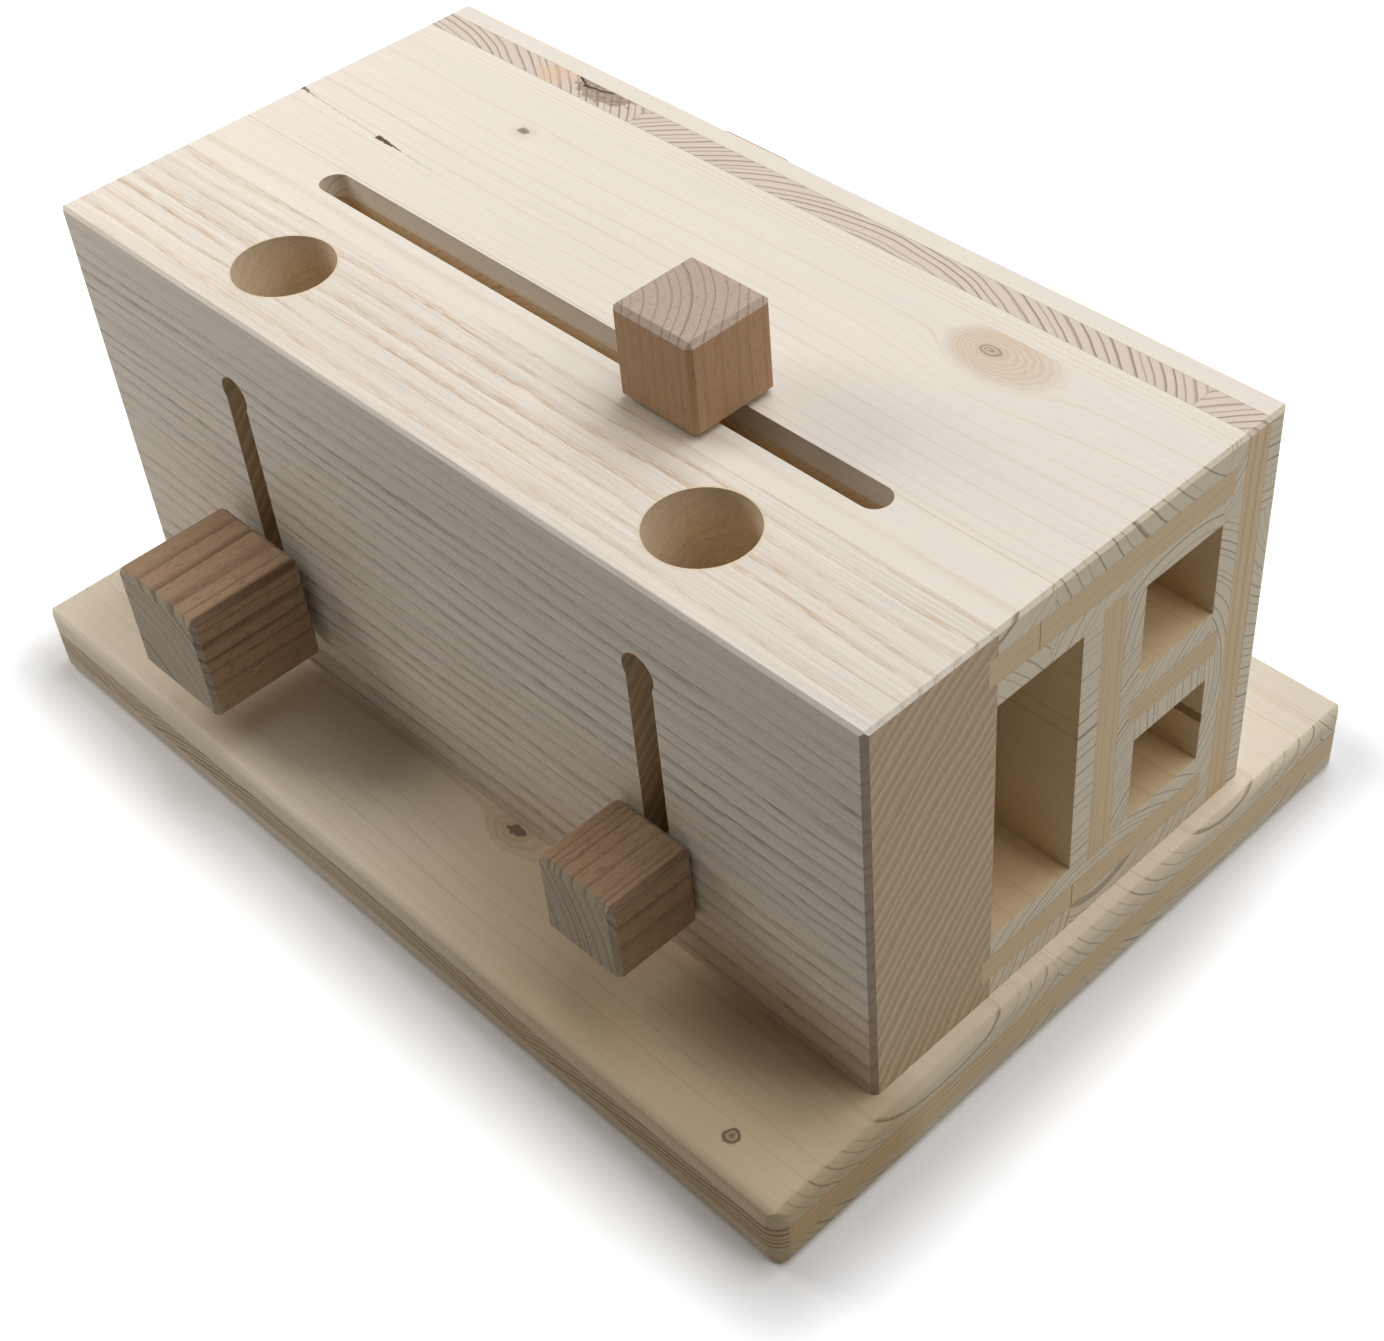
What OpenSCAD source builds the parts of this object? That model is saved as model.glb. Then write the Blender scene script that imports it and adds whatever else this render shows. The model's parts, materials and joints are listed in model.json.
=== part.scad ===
// Wooden treat puzzle for a dog: a box of tongued three-ply panels and one solid
// block on a base plate, with two lift wells and three channels, each with a
// piece that the dog moves by a square knob.
// Origin: centre of the base plate's underside. +X runs to the open right end,
// +Y to the rear, +Z up.

/* [Panels] */
// Thickness of the three-ply panels of the box
panel_t = 19; // [16:0.5:22]
// Thickness of a panel's core ply, which also makes its tongues
core_t = 7; // [5:0.5:8]
// How far a tongue reaches into its groove
tongue_d = 2.5; // [1.5:0.25:3.5]
// Glue clearance round each tongue and each pin's hole
glue_gap = 0.05; // [0.02:0.01:0.1]

/* [Box] */
// Length of the box, left end to right end
box_l = 252; // [220:1:300]
// Thickness of the solid front block
block_t = 35; // [32:0.5:45]
// Width of the tall channel behind the block
tall_w = 25; // [20:0.5:32]
// Side of the two square channels at the rear
small_w = 24; // [20:0.5:32]
// Bevel on the block's upright front edges
front_bevel = 1.2; // [0.5:0.1:2]
// Bevel on the box's top edges
top_bevel = 0.8; // [0.4:0.1:1.5]
// Radius of the rear panel's upright rear edges
rear_round = 2.5; // [1:0.5:5]

/* [Base plate] */
// Thickness of the base plate
base_t = 19; // [16:0.5:24]
// How far the base plate stands out in front of the box and behind it
margin_y = 34; // [34:1:50]
// How far the base plate stands out past each end of the box
margin_x = 5.5; // [5:0.5:20]
// Corner radius of the base plate, seen from above
base_corner = 5; // [3:0.5:12]
// Rounding of the base plate's top and bottom edges
base_round = 3; // [1:0.5:4]

/* [Slots] */
// Width of the routed slots
slot_w = 7.5; // [7.2:0.1:10]
// Distance from the box's ends to the ends of the long slots
slot_end = 38; // [34:1:50]
// Diameter of the drill that starts each front slot
starter_d = 9; // [8.5:0.1:11]

/* [Lift wells] */
// Diameter of the two wells drilled down through the block
well_d = 23.5; // [20:0.5:26]
// Distance from the box's ends to the axes of the wells
well_end = 60; // [55:1:75]
// Distance from the block's front face to the axes of the wells
well_in = 19.5; // [17:0.5:22]
// Height of the lift pins above the base plate, when the lifts are down
pin_up = 28; // [24:1:32]
// Height that each lift rises
lift_travel = 53; // [40:1:57]
// Length of a lift's round piston
piston_l = 50; // [44:1:56]

/* [Knobs and pins] */
// Side of the big square knob on the left lift
big_knob = 30; // [26:0.5:30]
// Side of the other square knobs
small_knob = 22.5; // [16:0.5:26]
// Bevel on a knob's edges
knob_bevel = 1.2; // [0.8:0.1:2.5]
// Gap between the left lift's knob and the block
left_gap = 2.8; // [0.4:0.1:3]
// Gap between each other knob and the face that it slides on
knob_gap = 0.6; // [0.3:0.1:1]
// Diameter of the pins
pin_d = 6.5; // [5:0.5:7]
// How deep a pin is let into its knob
pin_in_knob = 13; // [8:0.5:14]
// How deep a slider's pin is let into its pusher
pin_in_pusher = 12; // [8:0.5:14]

/* [Pushers] */
// Length of the pushers along their channels
pusher_l = 30; // [20:1:40]
// Gap beside and above a pusher, and round a piston
side_gap = 0.4; // [0.3:0.05:0.6]
// Gap under each moving piece
rest_gap = 0.3; // [0.2:0.05:0.4]
// Where the top knob stands, from the middle of its slot
top_at = 36; // [-50:1:50]
// Where the upper rear knob stands
upper_at = -46; // [-50:1:50]
// Where the lower rear knob stands
lower_at = 22; // [-50:1:50]
// Bevel on a pusher's edges
pusher_bevel = 1; // [0.5:0.1:2]

/* [Screws] */
// Diameter of the countersunk screws under the base plate
screw_d = 4; // [3.5:0.5:5]
// Diameter of a screw's head
screw_head_d = 8; // [8:0.5:10]
// Length of a screw
screw_l = 40; // [35:1:44]
// Distance from the box's ends to the outer screws
screw_end = 26; // [20:1:34]

/* [Hidden] */
$fn = 64;
eps = 0.01;
// How far a cut runs past the faces that it opens
overcut = 1;

ply_t = (panel_t - core_t) / 2;

// Depths, front to rear
box_d = block_t + tall_w + panel_t + small_w + panel_t;
front_y = -box_d / 2;
tall_y = front_y + block_t;
partition_y = tall_y + tall_w;
small_y = partition_y + panel_t;
rear_y = small_y + small_w;
back_y = rear_y + panel_t;

// Heights
floor_z = base_t;
lower_z = floor_z + panel_t;
shelf_z = lower_z + small_w;
upper_z = shelf_z + panel_t;
lid_z = upper_z + small_w;
top_z = lid_z + panel_t;

slot_half = box_l / 2 - slot_end;
well_x = box_l / 2 - well_end;
well_y = front_y + well_in;
lift_z = floor_z + pin_up;
screw_xs = [-(box_l / 2 - screw_end), 0, box_l / 2 - screw_end];
screw_ys = [front_y + block_t / 2, rear_y + panel_t / 2];
head_h = (screw_head_d - screw_d) / 2;

// Pushers: a tall one behind the block and two small ones at the rear
tall_mid_y = tall_y + tall_w / 2;
tall_size = [pusher_l, tall_w - 2 * side_gap, lid_z - lower_z - rest_gap - side_gap];
small_mid_y = small_y + small_w / 2;
small_size = [pusher_l, small_w - 2 * side_gap, small_w - rest_gap - side_gap];
small_mid_z = rest_gap + small_size.z / 2;

// Length of a slider's pin, through the panel between its pusher and its knob
slider_pin_l = pin_in_pusher + side_gap + panel_t + knob_gap + pin_in_knob;

wood = "BurlyWood";
pale = "Wheat";
block_wood = "Tan";
knob_wood = "Peru";
pin_wood = "SandyBrown";

// ---- shapes that repeat ----

// A rectangle with a radius on all corners, centred
module rounded_rect(l, d, r) {
    square([l - 2 * r, d], center = true);
    square([l, d - 2 * r], center = true);
    for (x = [-1, 1], y = [-1, 1])
        translate([x * (l / 2 - r), y * (d / 2 - r)]) circle(r);
}

// A box with equal bevels on all its edges, centred
module bevelled_box(size, c) {
    hull() {
        cube([size.x, size.y - 2 * c, size.z - 2 * c], center = true);
        cube([size.x - 2 * c, size.y, size.z - 2 * c], center = true);
        cube([size.x - 2 * c, size.y - 2 * c, size.z], center = true);
    }
}

// The box's outside, with the upright and the top edges broken
module outside() {
    intersection() {
        linear_extrude(top_z + overcut) plan_outline();
        rotate([90, 0, 90]) linear_extrude(box_l + 2 * overcut, center = true) side_outline();
        rotate([90, 0, 0]) linear_extrude(box_d + 2 * overcut, center = true) front_outline();
    }
}

// Seen from above: bevels at the front, arcs at the rear
module plan_outline() {
    c = front_bevel;
    r = rear_round;
    polygon([[-box_l / 2 + c, front_y], [box_l / 2 - c, front_y], [box_l / 2, front_y + c],
             [box_l / 2, back_y - r], [-box_l / 2, back_y - r], [-box_l / 2, front_y + c]]);
    translate([-box_l / 2 + r, 0]) square([box_l - 2 * r, back_y]);
    for (x = [-1, 1])
        translate([x * (box_l / 2 - r), back_y - r]) circle(r);
}

// Seen from the end: bevels along the top
module side_outline() {
    c = top_bevel;
    polygon([[front_y, 0], [back_y, 0], [back_y, top_z - c], [back_y - c, top_z],
             [front_y + c, top_z], [front_y, top_z - c]]);
}

// Seen from the front: bevels along the top
module front_outline() {
    c = top_bevel;
    polygon([[-box_l / 2, 0], [box_l / 2, 0], [box_l / 2, top_z - c], [box_l / 2 - c, top_z],
             [-box_l / 2 + c, top_z], [-box_l / 2, top_z - c]]);
}

// A bar over the whole length of the box, from two corners in Y and Z
module bar(y0, z0, y1, z1, l = box_l) {
    translate([-l / 2, y0, z0]) cube([l, y1 - y0, z1 - z0]);
}

// The cut for a tongue of the given size, with glue clearance
module groove(y0, z0, y1, z1) {
    bar(y0 - glue_gap, z0 - glue_gap, y1 + glue_gap, z1 + glue_gap, box_l + 2 * overcut);
}

// The tongues of each panel, as bars or as the grooves that take them
module top_tongues(cut = false) tongue_pair(lid_z, tall_y, rear_y, cut);
module bottom_tongues(cut = false) tongue_pair(floor_z, tall_y, rear_y, cut);
module shelf_tongues(cut = false) tongue_pair(shelf_z, small_y, rear_y, cut);

// A level panel's core ply, standing out at its front and rear edges
module tongue_pair(z, y0, y1, cut) {
    if (cut) groove(y0 - tongue_d, z + ply_t, y1 + tongue_d, z + ply_t + core_t);
    else bar(y0 - tongue_d, z + ply_t, y1 + tongue_d, z + ply_t + core_t);
}

// The partition's core ply, standing out at its top and bottom edges
module partition_tongues(cut = false) {
    y0 = partition_y + ply_t;
    if (cut) groove(y0, lower_z - tongue_d, y0 + core_t, lid_z + tongue_d);
    else bar(y0, lower_z - tongue_d, y0 + core_t, lid_z + tongue_d);
}

// A slot with round ends along X, cut along the given depth in +Z from z = 0
module long_slot(depth) {
    for (x = [-1, 1])
        translate([x * (slot_half - slot_w / 2), 0, -eps]) cylinder(h = depth + 2 * eps, d = slot_w);
    translate([-(slot_half - slot_w / 2), -slot_w / 2, -eps])
        cube([2 * slot_half - slot_w, slot_w, depth + 2 * eps]);
}

// An upright slot through the block's front wall into a well, with its starter hole
module front_slot(x) {
    translate([x, front_y - eps, lift_z]) rotate([-90, 0, 0]) {
        cylinder(h = well_in, d = slot_w);
        translate([0, -lift_travel, 0]) cylinder(h = well_in, d = starter_d);
        translate([-slot_w / 2, -lift_travel, 0]) cube([slot_w, lift_travel, well_in]);
    }
}

// A square knob with its blind pin hole, centred, open towards -Z
module knob(side) {
    color(knob_wood) difference() {
        bevelled_box([side, side, side], knob_bevel);
        translate([0, 0, -side / 2 - eps])
            cylinder(h = pin_in_knob + glue_gap + eps, d = pin_d + 2 * glue_gap);
    }
}

// A pusher with its blind pin hole, centred, open towards +Z
module pusher(size) {
    color(wood) difference() {
        bevelled_box(size, pusher_bevel);
        translate([0, 0, size.z / 2 - pin_in_pusher - glue_gap])
            cylinder(h = pin_in_pusher + overcut, d = pin_d + 2 * glue_gap);
    }
}

// A plain round pin from z = 0 up
module pin(l) {
    color(pin_wood) cylinder(h = l, d = pin_d);
}

// A lift's piston on the axis of its well, with the cross hole for its pin
module piston(x) {
    color(pin_wood) translate([x, well_y, floor_z + rest_gap]) difference() {
        cylinder(h = piston_l, d = well_d - 2 * side_gap);
        translate([0, 0, pin_up - rest_gap]) rotate([90, 0, 0])
            cylinder(h = well_d, d = pin_d + 2 * glue_gap);
    }
}

// A lift's pin, from the axis of the piston out through the slot into the knob
module lift_pin(x, gap) {
    translate([x, well_y - glue_gap, lift_z]) rotate([90, 0, 0])
        pin(well_in + gap + pin_in_knob - glue_gap);
}

// A lift's knob, in front of the block
module lift_knob(x, side, gap) {
    translate([x, front_y - gap - side / 2, lift_z]) rotate([90, 0, 0]) knob(side);
}

// ---- the still pieces ----

module base_plate() {
    l = box_l + 2 * margin_x;
    d = box_d + 2 * margin_y;
    color(pale) difference() {
        intersection() {
            linear_extrude(base_t) rounded_rect(l, d, base_corner);
            translate([0, 0, base_t / 2]) rotate([90, 0, 90])
                linear_extrude(l, center = true) rounded_rect(d, base_t, base_round);
            translate([0, 0, base_t / 2]) rotate([90, 0, 0])
                linear_extrude(d, center = true) rounded_rect(l, base_t, base_round);
        }
        screw_holes();
    }
}

// Clearance holes and countersinks for the screws
module screw_holes() {
    for (x = screw_xs, y = screw_ys) translate([x, y, 0]) {
        translate([0, 0, -overcut])
            cylinder(h = overcut + rest_gap + screw_l + glue_gap, d = screw_d + 2 * glue_gap);
        translate([0, 0, -overcut])
            cylinder(h = overcut + rest_gap, d = screw_head_d + 2 * glue_gap);
        translate([0, 0, rest_gap])
            cylinder(h = head_h, d1 = screw_head_d + 2 * glue_gap, d2 = screw_d + 2 * glue_gap);
    }
}

module base_screws() {
    color("silver") for (x = screw_xs, y = screw_ys) translate([x, y, rest_gap]) {
        cylinder(h = head_h, d1 = screw_head_d, d2 = screw_d);
        cylinder(h = screw_l, d = screw_d);
    }
}

module front_block() {
    color(block_wood) difference() {
        intersection() {
            bar(front_y, floor_z, tall_y, top_z);
            outside();
        }
        top_tongues(cut = true);
        bottom_tongues(cut = true);
        for (x = [-well_x, well_x]) {
            translate([x, well_y, floor_z - eps]) cylinder(h = top_z, d = well_d);
            front_slot(x);
        }
        screw_holes();
    }
}

module top_panel() {
    color(pale) difference() {
        intersection() {
            union() {
                bar(tall_y, lid_z, rear_y, top_z);
                top_tongues();
            }
            outside();
        }
        partition_tongues(cut = true);
        translate([0, tall_mid_y, lid_z]) long_slot(panel_t);
    }
}

module bottom_panel() {
    color(pale) difference() {
        union() {
            bar(tall_y, floor_z, rear_y, lower_z);
            bottom_tongues();
        }
        partition_tongues(cut = true);
    }
}

module partition() {
    color(wood) difference() {
        union() {
            bar(partition_y, lower_z, small_y, lid_z);
            partition_tongues();
        }
        shelf_tongues(cut = true);
    }
}

module shelf() {
    color(wood) {
        bar(small_y, shelf_z, rear_y, upper_z);
        shelf_tongues();
    }
}

module rear_panel() {
    color(pale) difference() {
        intersection() {
            bar(rear_y, floor_z, back_y, top_z);
            outside();
        }
        top_tongues(cut = true);
        bottom_tongues(cut = true);
        shelf_tongues(cut = true);
        for (z = [lower_z, upper_z])
            translate([0, back_y, z + small_w / 2]) rotate([90, 0, 0]) long_slot(panel_t);
        screw_holes();
    }
}

// ---- the top slider, in the tall channel ----

module top_knob() {
    translate([top_at, tall_mid_y, top_z + knob_gap + small_knob / 2]) knob(small_knob);
}

module top_pin() {
    translate([top_at, tall_mid_y, lid_z - side_gap - pin_in_pusher]) pin(slider_pin_l);
}

module tall_pusher() {
    translate([top_at, tall_mid_y, lower_z + rest_gap + tall_size.z / 2]) pusher(tall_size);
}

// ---- the lifts ----

module left_knob() lift_knob(-well_x, big_knob, left_gap);
module left_pin() lift_pin(-well_x, left_gap);
module left_piston() piston(-well_x);
module right_knob() lift_knob(well_x, small_knob, knob_gap);
module right_pin() lift_pin(well_x, knob_gap);
module right_piston() piston(well_x);

// ---- the two rear sliders, each on the floor of its channel at height z ----

module rear_knob(x, z) {
    translate([x, back_y + knob_gap + small_knob / 2, z + small_mid_z]) rotate([-90, 0, 0])
        knob(small_knob);
}

module rear_pin(x, z) {
    translate([x, rear_y - side_gap - pin_in_pusher, z + small_mid_z]) rotate([-90, 0, 0])
        pin(slider_pin_l);
}

module rear_pusher(x, z) {
    translate([x, small_mid_y, z + small_mid_z]) rotate([-90, 0, 0])
        pusher([small_size.x, small_size.z, small_size.y]);
}

module upper_knob() rear_knob(upper_at, upper_z);
module upper_pin() rear_pin(upper_at, upper_z);
module upper_pusher() rear_pusher(upper_at, upper_z);
module lower_knob() rear_knob(lower_at, lower_z);
module lower_pin() rear_pin(lower_at, lower_z);
module lower_pusher() rear_pusher(lower_at, lower_z);

base_plate();
front_block();
top_panel();
bottom_panel();
partition();
shelf();
rear_panel();
base_screws();
top_knob();
top_pin();
tall_pusher();
left_knob();
left_pin();
left_piston();
right_knob();
right_pin();
right_piston();
upper_knob();
upper_pin();
upper_pusher();
lower_knob();
lower_pin();
lower_pusher();
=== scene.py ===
# %% [markdown]
# # A wooden treat puzzle for a dog
#
# The toy is a box of three-ply spruce panels and one solid block, glued together and screwed to
# a base plate. Square knobs slide in slots. The construction comes in as a fixed frame of
# pieces at their real size, and this file gives them their wood. Each later cell says what the
# real thing is, and why it is made here the way it is.

# %% Load the frame
import json
from math import radians

import bpy
from mathutils import Euler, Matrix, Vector


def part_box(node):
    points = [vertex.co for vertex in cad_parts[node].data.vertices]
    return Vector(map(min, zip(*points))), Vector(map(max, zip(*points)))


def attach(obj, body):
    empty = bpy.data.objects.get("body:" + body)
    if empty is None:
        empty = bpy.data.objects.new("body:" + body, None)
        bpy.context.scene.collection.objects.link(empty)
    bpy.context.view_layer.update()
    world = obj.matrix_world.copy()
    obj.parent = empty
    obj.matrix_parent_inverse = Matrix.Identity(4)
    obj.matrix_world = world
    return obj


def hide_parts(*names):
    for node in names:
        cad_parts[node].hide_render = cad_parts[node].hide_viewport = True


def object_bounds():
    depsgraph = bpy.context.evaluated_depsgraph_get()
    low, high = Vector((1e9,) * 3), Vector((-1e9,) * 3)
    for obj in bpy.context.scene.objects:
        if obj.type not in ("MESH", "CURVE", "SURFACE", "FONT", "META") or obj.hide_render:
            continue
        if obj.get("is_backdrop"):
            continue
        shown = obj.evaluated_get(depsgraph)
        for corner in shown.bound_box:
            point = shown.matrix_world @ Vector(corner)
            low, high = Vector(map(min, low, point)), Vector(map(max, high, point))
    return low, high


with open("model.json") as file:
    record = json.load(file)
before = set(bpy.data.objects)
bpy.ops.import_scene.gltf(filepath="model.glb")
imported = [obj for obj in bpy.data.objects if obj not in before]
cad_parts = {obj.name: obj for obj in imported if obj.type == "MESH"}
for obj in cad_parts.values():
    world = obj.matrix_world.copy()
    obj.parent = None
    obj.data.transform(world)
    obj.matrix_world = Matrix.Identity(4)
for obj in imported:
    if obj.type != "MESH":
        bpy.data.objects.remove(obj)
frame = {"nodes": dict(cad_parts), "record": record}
nodes = frame["nodes"]
cad_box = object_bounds()
MM = 0.001

# %% [markdown]
# ## Colours and nodes
#
# Colours are given as sRGB hex values, but shaders work in linear light, so one function
# turns the first into the second. Another adds a node to a tree, sets it up and links it, so
# that each line below reads as one step of a recipe.


# %% Colours and one node
def linear(hex_colour):
    """An sRGB hex colour as the linear colour that a shader needs."""
    channels = [int(hex_colour[i : i + 2], 16) / 255 for i in (1, 3, 5)]
    return [c / 12.92 if c <= 0.04045 else ((c + 0.055) / 1.055) ** 2.4 for c in channels] + [1]


def add(tree, kind, inputs=(), out=0, **settings):
    """Adds a node, sets it up, links or fills its inputs, and returns one output, or itself."""
    node = tree.nodes.new(kind)
    for name, value in settings.items():
        setattr(node, name, value)
    for key, value in inputs.items() if isinstance(inputs, dict) else enumerate(inputs):
        if isinstance(value, bpy.types.NodeSocket):
            tree.links.new(value, node.inputs[key])
        elif value is not None:
            node.inputs[key].default_value = value
    return node if out is None else node.outputs[out]


print("pale spruce is", [round(c, 2) for c in linear("#ece3d9")])

# %% [markdown]
# A node group is a recipe with a name: its inputs are the sizes that a material gives, and its
# outputs are what the material gets back. The groups here say what a tree and a screw are.


# %% New groups and materials
def new_group(name, kind, inputs, outputs):
    """An empty node group, and its inputs' sockets. An input is a number or a kind of socket."""
    tree = bpy.data.node_groups.new(name, kind)
    for title, value in inputs.items():
        kind = "Float" if isinstance(value, float) else value
        socket = tree.interface.new_socket(title, in_out="INPUT", socket_type="NodeSocket" + kind)
        if kind == "Float":
            socket.default_value = value
    for title, kind in outputs.items():
        tree.interface.new_socket(title, in_out="OUTPUT", socket_type="NodeSocket" + kind)
    return tree, tree.nodes.new("NodeGroupInput").outputs


def titled(sizes):
    """Sizes such as ring_width by the names of a group's inputs, such as Ring Width."""
    return {name.replace("_", " ").title(): value for name, value in sizes.items()}


def new_material(name):
    """A material with an empty tree."""
    material = bpy.data.materials.new(name)
    material.use_nodes = True
    material.node_tree.nodes.clear()
    return material


print("a group's input is called, for one,", *titled({"ring_width": 4.0}))

# %% [markdown]
# ## Camera
#
# The picture is taken from in front, to the right and above, with a normal to long lens, so
# the upright edges lean together only a little. Its place and tilt were solved together with
# the size of the box, so they are written here as plain numbers.

# %% Camera
camera_data = bpy.data.cameras.new("camera")
camera_data.lens = 58.96
camera_data.shift_x = -0.0551
camera_data.shift_y = 0.0021
camera_data.clip_start = 0.01
camera = bpy.data.objects.new("camera", camera_data)
camera.location = Vector((313.2, -252.1, 400.7)) * MM
camera.rotation_euler = Euler([radians(a) for a in (45.68, 2.92, 44.87)])
bpy.context.scene.collection.objects.link(camera)
bpy.context.scene.camera = camera
print("camera", round(camera.location.length, 3), "m from the toy")

# %% [markdown]
# ## Light
#
# The light is a wide soft one above and behind the box: it fills the top, leaves the front in
# its own shadow, and draws a soft shadow on the floor in front. A small one close at the left
# lights the near end of the front face and fades along it. A weak warm one at the right stands
# for light thrown back by the room.


# %% Lamps
def area_lamp(name, place, size, watts, colour):
    """A square soft light at a place, aimed at the middle of the box."""
    data = bpy.data.lights.new(name, "AREA")
    data.shape = "SQUARE"
    data.size = size
    data.energy = watts
    data.color = linear(colour)[:3]
    lamp = bpy.data.objects.new(name, data)
    lamp.location = place
    aim = Vector((0, 0, 0.06)) - Vector(place)
    lamp.rotation_euler = aim.to_track_quat("-Z", "Y").to_euler()
    bpy.context.scene.collection.objects.link(lamp)


area_lamp("key_light", (0.05, 0.5, 1.2), 1.0, 11.6, "#f8fbff")
area_lamp("left_light", (-0.45, -0.2, 0.4), 0.25, 1.35, "#fffaf2")
area_lamp("right_fill", (0.8, 0.25, 0.9), 0.6, 2.8, "#fff6ea")

scene = bpy.context.scene

# %% [markdown]
# ## A white studio
#
# The background is white paper. What the camera sees as white needn't light the toy as
# strongly, and Light Path tells the two apart: the camera's rays, and those that are mirrored
# or pass through glass, meet white, and all the others meet a dim warm room.


# %% World
def seen_as_white(tree):
    """A mask of the rays that meet white: the camera's, mirrored ones and those through glass."""
    path = add(tree, "ShaderNodeLightPath", out=None).outputs
    mirrored = [path["Is Glossy Ray"], path["Is Transmission Ray"]]
    mirrored = add(tree, "ShaderNodeMath", mirrored, operation="MAXIMUM")
    return add(tree, "ShaderNodeMath", [path["Is Camera Ray"], mirrored], operation="MAXIMUM")


scene.view_settings.view_transform = "Standard"
scene.world = bpy.data.worlds.new("studio")
scene.world.use_nodes = True
sky = scene.world.node_tree
sky.nodes.clear()
ambient = add(sky, "ShaderNodeBackground", [linear("#f0e2cc"), 0.06])
white = add(sky, "ShaderNodeBackground", [linear("#ffffff"), 1.0])
seen = add(sky, "ShaderNodeMixShader", [seen_as_white(sky), ambient, white])
add(sky, "ShaderNodeOutputWorld", [seen], out=None)
print("world:", len(sky.nodes), "nodes")


# %% Floor
FOOTPRINT = (cad_box[1][0], cad_box[1][1], 0)
FLOOR_HALF = 4.0


def floor_finish():
    """Matt white paper. To the camera it is lighter away from the toy, and fades into white."""
    material = new_material("matt_white_paper")
    tree = material.node_tree
    paper = add(tree, "ShaderNodeBsdfDiffuse", [linear("#d0cfcb"), 0.0])
    bright = add(tree, "ShaderNodeBsdfDiffuse", [linear("#f7f8fb"), 0.0])
    here = add(tree, "ShaderNodeTexCoord", out="Object")
    size = add(tree, "ShaderNodeVectorMath", [here], operation="ABSOLUTE")
    beyond = add(tree, "ShaderNodeVectorMath", [size, FOOTPRINT], operation="SUBTRACT")
    beyond = add(tree, "ShaderNodeVectorMath", [beyond, (0, 0, 0)], operation="MAXIMUM")
    away = add(tree, "ShaderNodeVectorMath", [beyond], out="Value", operation="LENGTH")

    # The glow grows over the first 24 mm from the base, and then slowly out to 600 mm
    fade = [away, 2 * MM, 24 * MM, 0.04, 0.5]
    fade = add(tree, "ShaderNodeMapRange", fade, interpolation_type="SMOOTHSTEP")
    far = add(tree, "ShaderNodeMapRange", [away, 50 * MM, 600 * MM, 0.0, 0.6])
    fade = add(tree, "ShaderNodeMath", [fade, far], operation="ADD")
    glow = add(tree, "ShaderNodeEmission", [linear("#ffffff"), fade])
    lit = add(tree, "ShaderNodeAddShader", [bright, glow])
    seen = add(tree, "ShaderNodeMixShader", [seen_as_white(tree), paper, lit])
    add(tree, "ShaderNodeOutputMaterial", [seen], out=None)
    return material


floor_mesh = bpy.data.meshes.new("floor")
corners = [(-1, -1), (1, -1), (1, 1), (-1, 1)]
corners = [(x * FLOOR_HALF, y * FLOOR_HALF, 0) for x, y in corners]
floor_mesh.from_pydata(corners, [], [(0, 1, 2, 3)])
floor_mesh.materials.append(floor_finish())
floor = bpy.data.objects.new("floor", floor_mesh)
scene.collection.objects.link(floor)
floor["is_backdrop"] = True
print("floor", 2 * FLOOR_HALF, "m wide")

# %% [markdown]
# ## What a board is
#
# A tree grows a pale ring in spring and a dark, dense one in late summer. A board is a flat
# piece cut out of that stack of cones, so every pattern on it, the stripes along its faces and
# the arcs on its ends, is the same set of rings met at different angles. The node group below
# works the same way: it measures how far each point lies from the pith, the tree's centre
# line, and turns that distance into rings. Stripes and arcs then match at each corner, also
# down in the wells and slots.
#
# In its place, x runs along the grain, y across the boards and z through them. All lengths in
# it are millimetres.

# %% What a board's rings are made from
RING_SIZES = {
    "Board Width": 100.0,
    "Board Start": 0.0,
    "Pith Across": 0.0,
    "Pith Across Spread": 0.0,
    "Pith Depth": -60.0,
    "Pith Depth Spread": 0.0,
    "Ring Width": 4.0,
    "Late Width": 1.1,
    "Tick Width": 0.6,
    "Waver": 1.0,
    "Ripple": 0.3,
    "Luck": 1.8,
    "Seed": 0.0,
}
RING_PARTS = ("Late", "Tick", "Fibre", "Tone", "Joint")
ring_inputs = {"Place": "Vector", **RING_SIZES}
ring_outputs = dict.fromkeys(RING_PARTS, "Float")
rings, given = new_group("growth_rings", "ShaderNodeTree", ring_inputs, ring_outputs)
print("a board's rings have", len(RING_SIZES), "sizes and", len(RING_PARTS), "parts")

# %% Which board this is, and its own random numbers
SEED_STEP = 13.7
width = given["Board Width"]
start = given["Board Start"]
split = add(rings, "ShaderNodeSeparateXYZ", [given["Place"]], out=None).outputs
from_start = add(rings, "ShaderNodeMath", [split["Y"], start], operation="SUBTRACT")
in_boards = add(rings, "ShaderNodeMath", [from_start, width], operation="DIVIDE")
board = add(rings, "ShaderNodeMath", [in_boards], operation="FLOOR")
board_seed = [given["Seed"], SEED_STEP, board]
board_seed = add(rings, "ShaderNodeMath", board_seed, operation="MULTIPLY_ADD")
chance = {"W": board_seed}
chance = add(rings, "ShaderNodeTexWhiteNoise", chance, out="Color", noise_dimensions="1D")
centred = add(rings, "ShaderNodeVectorMath", [chance, (0.5, 0.5, 0.5)], operation="SUBTRACT")
dice = add(rings, "ShaderNodeSeparateXYZ", [centred], out=None).outputs
print("random numbers for each board:", len(dice))

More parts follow.
